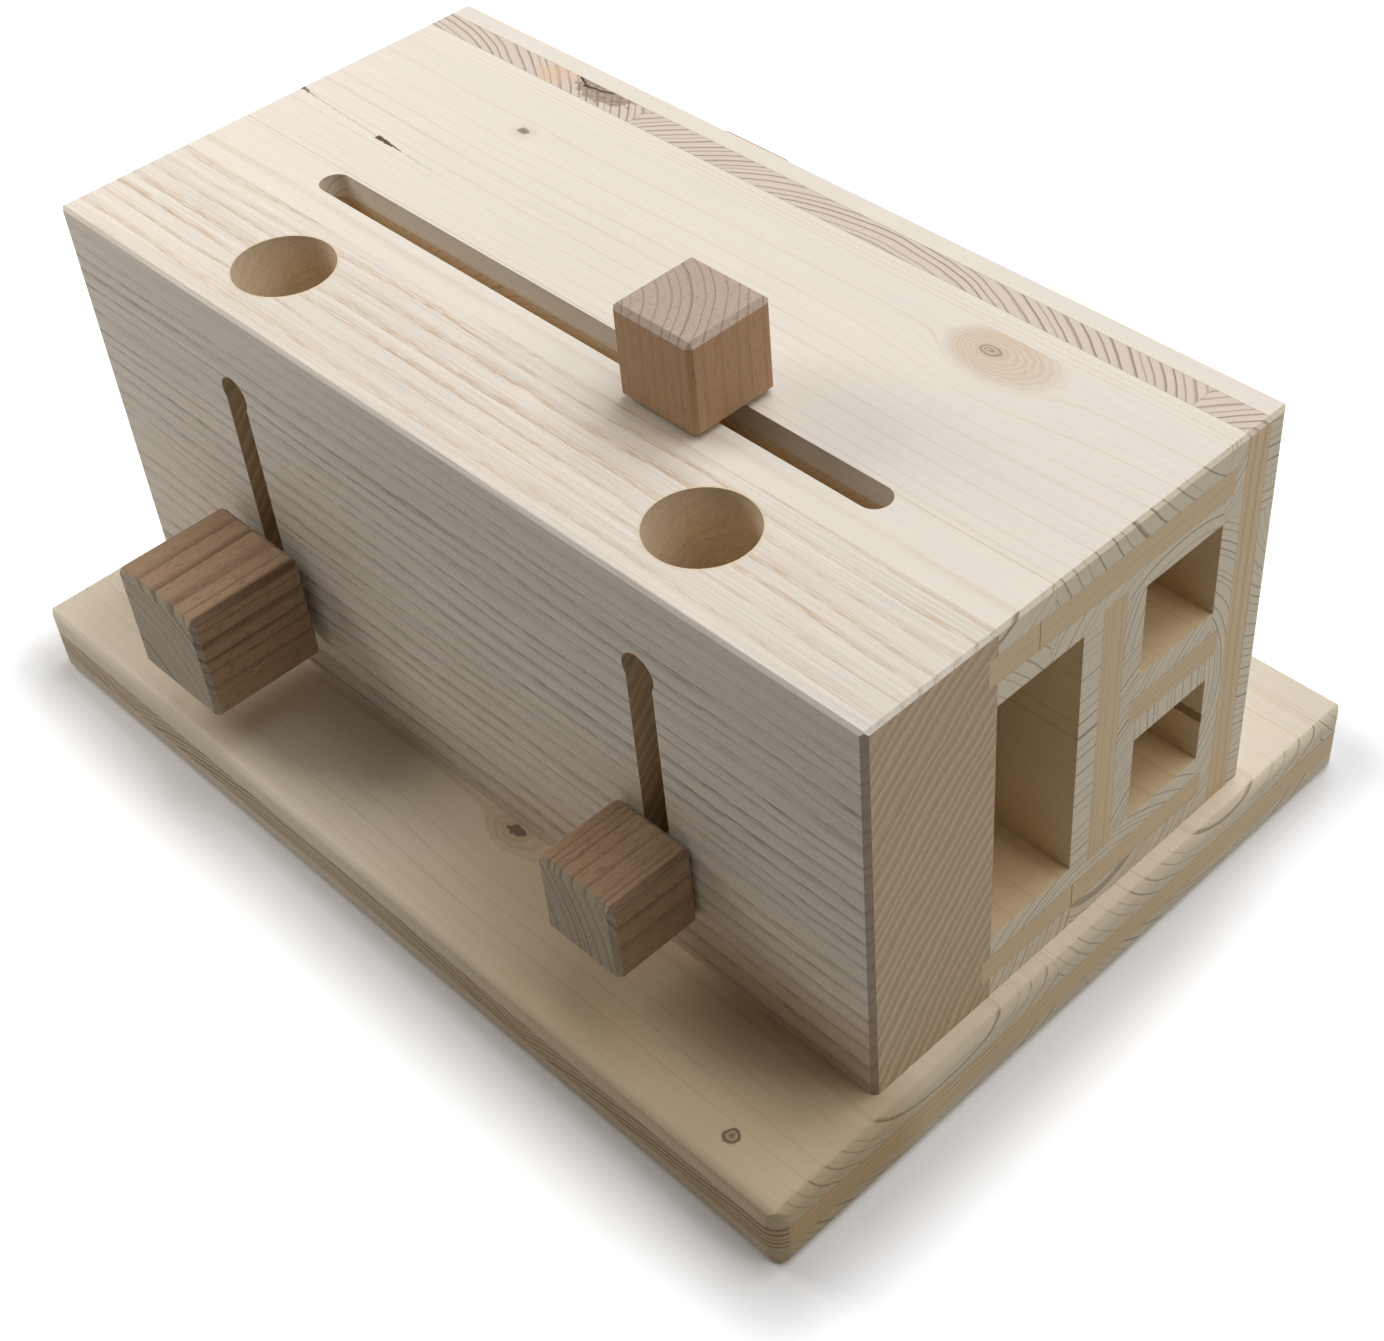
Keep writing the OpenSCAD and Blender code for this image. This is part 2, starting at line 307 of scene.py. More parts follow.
# %% How far each point is from the pith
middle = add(rings, "ShaderNodeMath", [board, 0.5], operation="ADD")
centre = add(rings, "ShaderNodeMath", [middle, width, start], operation="MULTIPLY_ADD")
aside = [dice["X"], given["Pith Across Spread"], given["Pith Across"]]
aside = add(rings, "ShaderNodeMath", aside, operation="MULTIPLY_ADD")
pith_y = add(rings, "ShaderNodeMath", [centre, aside], operation="ADD")
pith_z = [dice["Y"], given["Pith Depth Spread"], given["Pith Depth"]]
pith_z = add(rings, "ShaderNodeMath", pith_z, operation="MULTIPLY_ADD")
pith = add(rings, "ShaderNodeCombineXYZ", [split["X"], pith_y, pith_z])
away = add(rings, "ShaderNodeVectorMath", [given["Place"], pith], operation="SUBTRACT")
radius = add(rings, "ShaderNodeVectorMath", [away], out="Value", operation="LENGTH")
print("rings so far:", len(rings.nodes), "nodes")

# %% The slow sway and the quick shiver of a real trunk
# A noise's coordinates are millimetres times one over its grain size, so 0.006 is 170 mm
shift = add(rings, "ShaderNodeCombineXYZ", [board_seed, board_seed, board_seed])
moved = [shift, (7.1, 3.3, 5.7), given["Place"]]
moved = add(rings, "ShaderNodeVectorMath", moved, operation="MULTIPLY_ADD")
slow = [moved, (0.006, 0.016, 0.016)]
slow = add(rings, "ShaderNodeVectorMath", slow, operation="MULTIPLY")
sway = add(rings, "ShaderNodeTexNoise", {"Vector": slow, "Scale": 1.0, "Detail": 1.0})
swing = add(rings, "ShaderNodeMapRange", [sway, 0.25, 0.75, -1.0, 1.0], clamp=False)
quick = [moved, (0.014, 0.07, 0.07)]
quick = add(rings, "ShaderNodeVectorMath", quick, operation="MULTIPLY")
shake = add(rings, "ShaderNodeTexNoise", {"Vector": quick, "Scale": 1.0, "Detail": 2.0})
shiver = add(rings, "ShaderNodeMapRange", [shake, 0.25, 0.75, -1.0, 1.0], clamp=False)
swayed = [swing, given["Waver"], radius]
swayed = add(rings, "ShaderNodeMath", swayed, operation="MULTIPLY_ADD")
bent = [shiver, given["Ripple"], swayed]
bent = add(rings, "ShaderNodeMath", bent, operation="MULTIPLY_ADD")
print("rings so far:", len(rings.nodes), "nodes")

# %% Good and bad years: the rings are not all as wide
ring_width = given["Ring Width"]
count = add(rings, "ShaderNodeMath", [bent, ring_width], operation="DIVIDE")
years = add(rings, "ShaderNodeMath", [count, board_seed], operation="ADD")
luck = {"W": years, "Scale": 0.4, "Detail": 1.0}
luck = add(rings, "ShaderNodeTexNoise", luck, noise_dimensions="1D")
age = add(rings, "ShaderNodeMath", [luck, given["Luck"], years], operation="MULTIPLY_ADD")
part = add(rings, "ShaderNodeMath", [age], operation="FRACT")
rest = add(rings, "ShaderNodeMath", [1.0, part], operation="SUBTRACT")
left = add(rings, "ShaderNodeMath", [rest, ring_width], operation="MULTIPLY")
print("rings so far:", len(rings.nodes), "nodes")

# %% One year, by how many millimetres of it are left
# The pale early wood darkens slowly, and the late wood ends sharply
rise = [left, given["Late Width"], 0.15]
rise = add(rings, "ShaderNodeMapRange", rise, interpolation_type="SMOOTHSTEP")
end = add(rings, "ShaderNodeMapRange", [left, 0.0, 0.12], interpolation_type="SMOOTHSTEP")
band = add(rings, "ShaderNodeMath", [rise, end], operation="MULTIPLY")
sharp = [left, given["Tick Width"], 0.2]
sharp = add(rings, "ShaderNodeMapRange", sharp, interpolation_type="SMOOTHSTEP")
line = add(rings, "ShaderNodeMath", [sharp, end], operation="MULTIPLY")

# Some years are weak, and a line fades in and out along its length
year = add(rings, "ShaderNodeMath", [age], operation="FLOOR")
vigour = add(rings, "ShaderNodeTexWhiteNoise", {"W": year}, noise_dimensions="1D")
weakest = add(rings, "ShaderNodeMath", [given["Luck"], -0.4, 1.0], operation="MULTIPLY_ADD")
strength = add(rings, "ShaderNodeMapRange", [vigour, 0.0, 1.0, weakest, 1.0])
along = add(rings, "ShaderNodeMapRange", [shake, 0.3, 0.65, 0.35, 1.1])
seen = add(rings, "ShaderNodeMath", [band, along], operation="MULTIPLY")
late = add(rings, "ShaderNodeMath", [seen, strength], operation="MULTIPLY")
tick = add(rings, "ShaderNodeMath", [line, strength], operation="MULTIPLY")
print("rings so far:", len(rings.nodes), "nodes")

# %% Fibres, tone and glued joints
# Fibres are long and thin, 20 mm by 0.3 mm, and the tone drifts over the whole board
fine = [moved, (0.05, 3.0, 3.0)]
fine = add(rings, "ShaderNodeVectorMath", fine, operation="MULTIPLY")
fibre = add(rings, "ShaderNodeTexNoise", {"Vector": fine, "Scale": 1.0, "Detail": 2.0})
wide = [moved, (0.008, 0.05, 0.05)]
wide = add(rings, "ShaderNodeVectorMath", wide, operation="MULTIPLY")
drift = add(rings, "ShaderNodeTexNoise", {"Vector": wide, "Scale": 1.0, "Detail": 2.0})
tone = add(rings, "ShaderNodeMath", [dice["Z"], 0.5, drift], operation="MULTIPLY_ADD")
from_joint = add(rings, "ShaderNodeMath", [in_boards, 0.5], operation="PINGPONG")
joint_mm = add(rings, "ShaderNodeMath", [from_joint, width], operation="MULTIPLY")
joint = add(rings, "ShaderNodeMapRange", [joint_mm, 0.05, 0.2, 1.0, 0.0])
add(rings, "NodeGroupOutput", [late, tick, fibre, tone, joint], out=None)
print("growth rings:", len(rings.nodes), "nodes")

# %% [markdown]
# ## What a knot is
#
# A knot is where a branch left the trunk. It is an oval of small rings, crowded on the side
# that faces the foot of the tree, in wood a shade pinker than the rest. The trunk's grain
# parts round it as a stream parts round a stone. That flow has a simple formula, and the group
# below bends a place by it, so that any ring pattern that is fed with the bent place flows
# round the knot by itself.

# %% What a knot is made from
KNOT_SIZES = {
    "Size": 8.0,
    "Flatness": 0.7,
    "Lean": 0.2,
    "Heart": 3.0,
    "Ring Width": 1.3,
    "Bend": 1.0,
    "Ragged": 0.3,
    "Soft": 1.0,
}
knot_inputs = {"Place": "Vector", "Centre": "Vector", **KNOT_SIZES}
knot_outputs = {"Place": "Vector", **dict.fromkeys(("Halo", "Rim", "Rings", "Heart"), "Float")}
branch, given = new_group("branch_knot", "ShaderNodeTree", knot_inputs, knot_outputs)
print("a knot has", len(KNOT_SIZES), "sizes")

# %% How far out from the heart, in ovals that lean to one side
away = [given["Place"], given["Centre"]]
away = add(branch, "ShaderNodeVectorMath", away, operation="SUBTRACT")
split = add(branch, "ShaderNodeSeparateXYZ", [away], out=None).outputs
tall = add(branch, "ShaderNodeMath", [split["Y"], given["Flatness"]], operation="DIVIDE")
flat = add(branch, "ShaderNodeCombineXYZ", [split["X"], tall])
distance = add(branch, "ShaderNodeVectorMath", [flat], out="Value", operation="LENGTH")
leaning = add(branch, "ShaderNodeMath", [split["X"], given["Lean"]], operation="MULTIPLY")
oval = add(branch, "ShaderNodeMath", [distance, leaning], operation="SUBTRACT")
rough = add(branch, "ShaderNodeTexNoise", {"Vector": flat, "Scale": 0.3, "Detail": 2.0})
swing = add(branch, "ShaderNodeMapRange", [rough, 0.3, 0.7, -1.0, 1.0], clamp=False)
out = add(branch, "ShaderNodeMath", [swing, given["Ragged"], oval], operation="MULTIPLY_ADD")
print("knot so far:", len(branch.nodes), "nodes")

# %% The grain flows round it: y * (1 - bend * (size / out)^2)
sizes = add(branch, "ShaderNodeMath", [out, given["Size"]], operation="DIVIDE")
far = add(branch, "ShaderNodeMath", [sizes, 1.0], operation="MAXIMUM")
square = add(branch, "ShaderNodeMath", [far, -2.0], operation="POWER")
pull = add(branch, "ShaderNodeMath", [square, given["Bend"]], operation="MULTIPLY")
push = add(branch, "ShaderNodeMath", [split["Y"], pull], operation="MULTIPLY")
step = add(branch, "ShaderNodeCombineXYZ", {"Y": push})
bent = add(branch, "ShaderNodeVectorMath", [given["Place"], step], operation="SUBTRACT")
print("knot so far:", len(branch.nodes), "nodes")

# %% A knot's masks: the whole oval, its outline, its rings and its dark heart
to_rim = add(branch, "ShaderNodeMath", [given["Size"], out], operation="SUBTRACT")
fading = add(branch, "ShaderNodeMath", [to_rim, given["Soft"]], operation="DIVIDE")
halo = [fading, -0.9, 1.6]
halo = add(branch, "ShaderNodeMapRange", halo, interpolation_type="SMOOTHSTEP")
from_rim = add(branch, "ShaderNodeMath", [to_rim], operation="ABSOLUTE")
rim = [from_rim, 0.1, 0.6, 1.0, 0.0]
rim = add(branch, "ShaderNodeMapRange", rim, interpolation_type="SMOOTHSTEP")
count = add(branch, "ShaderNodeMath", [out, given["Ring Width"]], operation="DIVIDE")
part = add(branch, "ShaderNodeMath", [count, 0.5], operation="PINGPONG")
circles = [part, 0.12, 0.42]
circles = add(branch, "ShaderNodeMapRange", circles, interpolation_type="SMOOTHSTEP")
to_heart = add(branch, "ShaderNodeMath", [given["Heart"], out], operation="SUBTRACT")
heart = [to_heart, -0.5, 0.5]
heart = add(branch, "ShaderNodeMapRange", heart, interpolation_type="SMOOTHSTEP")
add(branch, "NodeGroupOutput", [bent, halo, rim, circles, heart], out=None)
print("knot:", len(branch.nodes), "nodes")

# %% [markdown]
# ## Cracks and knots as paint
#
# A drying crack is a thin dark wedge along the grain. It is drawn as the distance from a line,
# with a width that tapers, so it needs two points and two widths. It stays in the finish,
# because the real ones are only a millimetre wide.


# %% A crack
RAGGED_EDGE = 0.2


def slit(tree, across, up, start, end, widths):
    """The mask of a crack or streak from start to end, with its width at both."""
    run = Vector(end) - Vector(start)
    ahead = run.normalized()
    here = add(tree, "ShaderNodeCombineXYZ", [across, up])
    away = add(tree, "ShaderNodeVectorMath", [here, (*start, 0)], operation="SUBTRACT")
    along = [away, (*ahead, 0)]
    along = add(tree, "ShaderNodeVectorMath", along, out="Value", operation="DOT_PRODUCT")
    aside = [away, (-ahead.y, ahead.x, 0)]
    aside = add(tree, "ShaderNodeVectorMath", aside, out="Value", operation="DOT_PRODUCT")
    rough = add(tree, "ShaderNodeTexNoise", {"Vector": away, "Scale": 0.7, "Detail": 2.0})
    shake = [rough, 0.3, 0.7, -RAGGED_EDGE, RAGGED_EDGE]
    shake = add(tree, "ShaderNodeMapRange", shake, clamp=False)
    aside = add(tree, "ShaderNodeMath", [aside, shake], operation="ADD")
    aside = add(tree, "ShaderNodeMath", [aside], operation="ABSOLUTE")
    half = [along, 0.0, run.length, widths[0] / 2, widths[1] / 2]
    half = add(tree, "ShaderNodeMapRange", half, interpolation_type="SMOOTHSTEP")
    inside = add(tree, "ShaderNodeMath", [half, aside], operation="SUBTRACT")
    mask = [inside, -0.08, 0.12]
    mask = add(tree, "ShaderNodeMapRange", mask, interpolation_type="SMOOTHSTEP")
    middle = [along, run.length / 2, run.length / 2]
    length = add(tree, "ShaderNodeMath", middle, operation="COMPARE")
    return add(tree, "ShaderNodeMath", [mask, length], operation="MULTIPLY")


print("a crack's edges waver by", RAGGED_EDGE, "mm")


# %% A knot's layers of paint
def knot_paints(tree, knot, where, layers):
    """A paint for each layer, over the parts of a knot that it names, within a mask."""
    paints = []
    for parts, strength, paint in layers:
        mask = add(tree, "ShaderNodeMath", [where, strength], operation="MULTIPLY")
        for part in parts.split():
            mask = add(tree, "ShaderNodeMath", [mask, knot[part]], operation="MULTIPLY")
        paints.append((mask, paint, "MIX"))
    return paints


def knotted(tree, place, where, knots):
    """A place that flows round each knot, and the knots' paints."""
    paints = []
    for centre, sizes, layers in knots:
        knot = {"Place": place, "Centre": (*centre, 0), **titled(sizes)}
        knot = add(tree, "ShaderNodeGroup", knot, out=None, node_tree=branch).outputs
        place = knot["Place"]
        paints += knot_paints(tree, knot, where, layers)
    return place, paints


print("a knot gives", len(knot_outputs) - 1, "masks to paint through")

# %% [markdown]
# ## From rings to a surface
#
# Where a face runs along the grain, the late wood is a soft tan line on cream. Where the saw
# cut across the grain, the open fibres soak up dust and lacquer: the ground turns grey, and
# each ring ends in a thin dark tick. So every wood has four colours, and the angle between the
# face and the grain chooses between the pairs.
#
# The outside was sanded and has a thin matt coat. To the eye that is a wide, weak sheen that
# the fibres break up, so they also drive the bump and the roughness.


# %% The shader of every wood
# Clear lacquer and oil both bend light about this much. Matted, they shine less
MATT_COAT = {"IOR": 1.45, "Specular IOR Level": 0.35}


def wood_surface(material, ring, endness, colours, contrast, paints=()):
    """Ends a wood's tree. Paints are (mask, colour, blend) laid over the grain in turn."""
    tree = material.node_tree
    pale, dark, end_pale, end_dark = (linear(c) if isinstance(c, str) else c for c in colours)
    late, tick, fibre, tone = (ring[part] for part in ("Late", "Tick", "Fibre", "Tone"))
    amount = add(tree, "ShaderNodeMath", [late, contrast[0]], operation="MULTIPLY")
    along = {0: amount, 6: pale, 7: dark}
    along = add(tree, "ShaderNodeMix", along, out=2, data_type="RGBA")
    thin = add(tree, "ShaderNodeMath", [tick, contrast[1]], operation="MULTIPLY")
    ends = {0: thin, 6: end_pale, 7: end_dark}
    ends = add(tree, "ShaderNodeMix", ends, out=2, data_type="RGBA")
    both = {0: endness, 6: along, 7: ends}
    colour = add(tree, "ShaderNodeMix", both, out=2, data_type="RGBA")
    streak = add(tree, "ShaderNodeMapRange", [fibre, 0.3, 0.7, 0.955, 1.035], clamp=False)
    drift = add(tree, "ShaderNodeMapRange", [tone, 0.1, 0.9, 0.965, 1.025])
    shade = add(tree, "ShaderNodeMath", [streak, drift], operation="MULTIPLY")
    for mask, paint, blend in [(1.0, shade, "MULTIPLY"), *paints]:
        paint = linear(paint) if isinstance(paint, str) else paint
        layers = {0: mask, 6: colour, 7: paint}
        colour = add(tree, "ShaderNodeMix", layers, out=2, data_type="RGBA", blend_type=blend)

    ridge = add(tree, "ShaderNodeMath", [late, 0.5, fibre], operation="MULTIPLY_ADD")
    bump = {"Strength": 0.35, "Distance": 0.1 * MM, "Height": ridge}
    bump = add(tree, "ShaderNodeBump", bump)
    rough = add(tree, "ShaderNodeMapRange", [fibre, 0.3, 0.7, 0.5, 0.64])
    wood = {"Base Color": colour, "Normal": bump, "Roughness": rough, **MATT_COAT}
    shader = add(tree, "ShaderNodeBsdfPrincipled", wood)
    add(tree, "ShaderNodeOutputMaterial", [shader], out=None)
    return material


print("matt coat:", MATT_COAT)


# %% The start of every wood
def start_wood(name):
    """A new material, an object's place in millimetres and the size of its normal's parts."""
    material = new_material(name)
    tree = material.node_tree
    here = add(tree, "ShaderNodeTexCoord", out=None).outputs
    place = {0: here["Object"], "Scale": 1 / MM}
    place = add(tree, "ShaderNodeVectorMath", place, operation="SCALE")
    facing = add(tree, "ShaderNodeVectorMath", [here["Normal"]], operation="ABSOLUTE")
    xyz = add(tree, "ShaderNodeSeparateXYZ", [place], out=None).outputs
    normal = add(tree, "ShaderNodeSeparateXYZ", [facing], out=None).outputs
    return material, tree, xyz, normal


def ringed(tree, place, sizes):
    """The parts of the growth rings at a place."""
    sizes = {"Place": place, **titled(sizes)}
    ring = add(tree, "ShaderNodeGroup", sizes, out=None, node_tree=rings).outputs
    return {part: ring[part] for part in RING_PARTS}


print("a wood starts from its place in units of", MM, "m")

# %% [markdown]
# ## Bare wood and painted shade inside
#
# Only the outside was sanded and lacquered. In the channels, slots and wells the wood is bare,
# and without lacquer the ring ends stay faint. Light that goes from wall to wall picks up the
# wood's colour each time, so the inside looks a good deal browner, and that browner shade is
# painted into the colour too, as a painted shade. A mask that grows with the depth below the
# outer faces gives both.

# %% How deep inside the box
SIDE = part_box("rear_panel")[1].y / MM
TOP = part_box("rear_panel")[1].z / MM
BASE_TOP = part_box("base_plate")[1].z / MM
# Bare wood's colour, with a warm painted shade for the light bounced between the walls
BARE_WOOD_AND_SHADE_TINT = "#f6e5c6"


def bare_and_shaded_inside(tree, xyz, normal):
    """A mask of bare wood and painted shade: 0 on the outer faces, 1 in the channels and deep in
    the slots and wells.
    """
    side = add(tree, "ShaderNodeMath", [xyz["Y"]], operation="ABSOLUTE")
    mask = add(tree, "ShaderNodeMapRange", [side, SIDE - 1.5, SIDE - 8.0])
    from_top = add(tree, "ShaderNodeMapRange", [xyz["Z"], TOP - 4.5, TOP - 8.5])
    above = [xyz["Z"], BASE_TOP + 0.5]
    above = add(tree, "ShaderNodeMath", above, operation="GREATER_THAN")
    not_end = add(tree, "ShaderNodeMath", [normal["X"], 0.9], operation="LESS_THAN")
    for other in (from_top, above, not_end):
        mask = add(tree, "ShaderNodeMath", [mask, other], operation="MULTIPLY")
    return mask


print("the box ends at", round(SIDE), "mm behind and", round(TOP), "mm up")

# %% [markdown]
# ## Three-ply spruce
#
# A three-ply panel is two thin skins of boards with a thicker core glued between them, and the
# core's boards run across the skins'. That keeps the panel flat, and it shows at each edge: an
# end where the skins' rings are cut through has a core with long warm fibres, and the other
# way round. The material finds the ply from the depth in the panel, so the tongues, which are
# core, come out as core too.

# %% Spruce's colours: along the grain pale and dark, then the same at cut ends
PANEL = 19.0
CORE = 7.0
SPRUCE = ("#ebe3d7", "#c9ad8a", "#e1d6c1", "#6e5c4b")
WARM_SPRUCE = ("#ebdfcb", "#bf9d74", "#d8ccb4", "#6f5f4a")
CORE_LONG = ("#dac3a0", "#a2875f")
CORE_END = ("#dccdbf", "#745b4c")
GLUE = "#a98f6c"
print("skins", (PANEL - CORE) / 2, "mm, core", CORE, "mm")


# %% Which ply this is, and its rings
def plies(tree, into):
    """Masks from the depth into a panel: its core, its upper half and its upper skin."""
    core = add(tree, "ShaderNodeMath", [into, PANEL / 2, CORE / 2], operation="COMPARE")
    upper = add(tree, "ShaderNodeMath", [into, PANEL / 2], operation="GREATER_THAN")
    skin = add(tree, "ShaderNodeMath", [upper, core], operation="SUBTRACT", use_clamp=True)
    return {"core": core, "upper": upper, "skin": skin}


def ply_rings(tree, ply, skin_place, core_place, skins, core, seed):
    """The rings of whichever ply this is. The skins' sizes are pairs, lower and upper."""
    pairs = {"seed": (seed, seed + 3), **skins}
    sizes = {"late_width": 0.6}
    for size, (lower, upper) in pairs.items():
        sizes[size] = add(tree, "ShaderNodeMix", {0: ply["upper"], 2: lower, 3: upper})
    skin = ringed(tree, skin_place, sizes)
    heart = ringed(tree, core_place, {"seed": seed + 1.5, **core})
    return {
        part: add(tree, "ShaderNodeMix", {0: ply["core"], 2: skin[part], 3: heart[part]})
        for part in RING_PARTS
    }


print("parts of a ply's rings:", *RING_PARTS)


# %% Glue lines
# A glue line is drawn 0.3 mm wide, wider than it is, so that it shows
GLUE_LINE = 0.14


def glue_paints(tree, ply, into, joint, across, butt):
    """Thin brown lines between plies and boards, and one across the core where boards butt."""
    depth = add(tree, "ShaderNodeMath", [into, PANEL / 2], operation="SUBTRACT")
    depth = add(tree, "ShaderNodeMath", [depth], operation="ABSOLUTE")
    glue = add(tree, "ShaderNodeMath", [depth, CORE / 2, GLUE_LINE], operation="COMPARE")
    glue = add(tree, "ShaderNodeMath", [glue, 0.35], operation="MULTIPLY")
    joint = add(tree, "ShaderNodeMath", [joint, 0.4], operation="MULTIPLY")
    paints = [(glue, GLUE, "MIX"), (joint, GLUE, "MIX")]
    if butt is not None:
        near = add(tree, "ShaderNodeMath", [across, butt, 0.15], operation="COMPARE")
        gap = add(tree, "ShaderNodeMath", [near, ply["core"]], operation="MULTIPLY")
        paints.append((gap, "#8d7252", "MIX"))
    return paints


print("a glue line is", 2 * GLUE_LINE, "mm wide")


# %% A three-ply panel's finish
def three_ply(
    node, across, depth, skins, core, seed, knots=(), marks_and_shade=None, butt=None,
    palette=SPRUCE, core_end=CORE_END, lines=0.5,
):
    """Sanded spruce under thin matt lacquer: soft tan lines on cream, grey at cut ends."""
    material, tree, xyz, normal = start_wood("lacquered_spruce_" + node)
    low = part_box(node)[0]["XYZ".index(depth)] / MM
    into = add(tree, "ShaderNodeMath", [xyz[depth], low], operation="SUBTRACT")
    ply = plies(tree, into)
    skin_place = add(tree, "ShaderNodeCombineXYZ", [xyz["X"], xyz[across], into])
    core_place = add(tree, "ShaderNodeCombineXYZ", [xyz[across], xyz["X"], into])
    skin_place, paints = knotted(tree, skin_place, ply["skin"], knots)
    ring = ply_rings(tree, ply, skin_place, core_place, skins, core, seed)

    cut = add(tree, "ShaderNodeMix", {0: ply["core"], 2: normal["X"], 3: normal[across]})
    endness = [cut, 0.1, 0.4]
    endness = add(tree, "ShaderNodeMapRange", endness, interpolation_type="SMOOTHSTEP")
    colours = []
    for own, cores in zip(palette, CORE_LONG + core_end):
        pair = {0: ply["core"], 6: linear(own), 7: linear(cores)}
        colours.append(add(tree, "ShaderNodeMix", pair, out=2, data_type="RGBA"))

    paints += glue_paints(tree, ply, into, ring["Joint"], xyz[across], butt)
    # Marks in the wood, and on the base plate a painted shade
    if marks_and_shade:
        paints += marks_and_shade(tree, xyz, ply)
    bare_and_shade = bare_and_shaded_inside(tree, xyz, normal)
    faint = add(tree, "ShaderNodeMapRange", [bare_and_shade, 0.0, 1.0, 1.0, 0.3])
    ring["Tick"] = add(tree, "ShaderNodeMath", [ring["Tick"], faint], operation="MULTIPLY")
    # Inside, bare wood is multiplied by a warm painted shade
    paints.append((bare_and_shade, BARE_WOOD_AND_SHADE_TINT, "MULTIPLY"))
    return wood_surface(material, ring, endness, colours, (lines, 0.85), paints)


# The tint for bare wood and painted shade inside
print("bare wood is multiplied by", [round(c, 2) for c in linear(BARE_WOOD_AND_SHADE_TINT)][:3])

# %% [markdown]
# ## Knots, cracks and streaks
#
# Each knot is a place, its sizes and its layers of paint, from the whole oval to the dark
# heart. The top has a large pale one and a small dark one. The base plate has two small ones,
# and the rear panel's top edge a dark, cracked one, where a branch lay in the core.

# %% Knots
BIG_KNOT = (
    (69.7, 35.7),
    dict(size=12.6, flatness=0.64, lean=0.32, heart=2.9, ring_width=1.4, ragged=0.4, soft=3.0),
    (
        ("Halo", 0.45, "#cfae89"),
        ("Halo Rings", 0.2, "#a98a6c"),
        ("Heart", 0.35, "#b89c82"),
        ("Heart Rings", 0.5, "#7b6352"),
    ),
)
SMALL_KNOT = (
    (-68.4, 29.3),
    dict(size=3.2, flatness=0.8, heart=1.4, ring_width=0.9, bend=0.7, ragged=0.6, soft=2.0),
    (("Halo", 0.4, "#c9b498"), ("Heart", 0.7, "#7d6656"), ("Heart Rings", 0.5, "#4d3c32")),
)
CORNER_KNOT = (
    (111.1, -87.3),
    dict(size=1.5, flatness=1.1, lean=0.0, heart=0.7, ring_width=1.0, bend=0.9, ragged=0.35),
    (("Halo", 0.6, "#a88a68"), ("Rim", 0.8, "#5a4635"), ("Heart", 0.5, "#5d4735")),
)
WALL_KNOT = (
    (16.5, -63.0),
    dict(
        size=8.0, flatness=0.6, lean=0.1, heart=2.6,
        ring_width=2.6, bend=1.1, ragged=1.0, soft=2.0,
    ),
    (("Halo", 0.2, "#b59673"), ("Halo Rings", 0.22, "#8f7556"), ("Heart", 0.8, "#64513e")),
)
print("knots placed by hand:", len((BIG_KNOT, SMALL_KNOT, CORNER_KNOT, WALL_KNOT)))


# %% Marks on the top, and painted shade on the base plate
def top_marks(tree, xyz, ply):
    """Two cracks in the top, each with the faint line that it runs on in."""
    paints = []
    for start, end, widths, strength in (
        ((-93.0, 5.5), (-80.5, 4.8), (1.4, 0.0), 1.0),
        ((-126.5, 8.0), (-119.5, 7.2), (1.3, 0.2), 0.85),
        ((-120.0, 7.2), (-93.0, 5.5), (0.5, 0.5), 0.25),
        ((-81.0, 4.8), (-60.0, 3.8), (0.4, 0.1), 0.25),
    ):
        mask = slit(tree, xyz["X"], xyz["Y"], start, end, widths)
        mask = add(tree, "ShaderNodeMath", [mask, strength], operation="MULTIPLY")
        mask = add(tree, "ShaderNodeMath", [mask, ply["skin"]], operation="MULTIPLY")
        paints.append((mask, "#5b3f2a", "MIX"))
    return paints


def base_ledge_shade(tree, xyz, ply):
    """Painted shade: the right half of the ledge, in the box's shadow, is multiplied browner."""
    ledge = add(tree, "ShaderNodeMapRange", [xyz["Y"], 11.0 - SIDE, -SIDE])
    right = [xyz["X"], -30.0, 70.0]
    right = add(tree, "ShaderNodeMapRange", right, interpolation_type="SMOOTHSTEP")
    mask = add(tree, "ShaderNodeMath", [ledge, right], operation="MULTIPLY")
    return [(mask, "#e4dccb", "MULTIPLY")]


print("the ledge is in front of y", round(-SIDE), "mm")


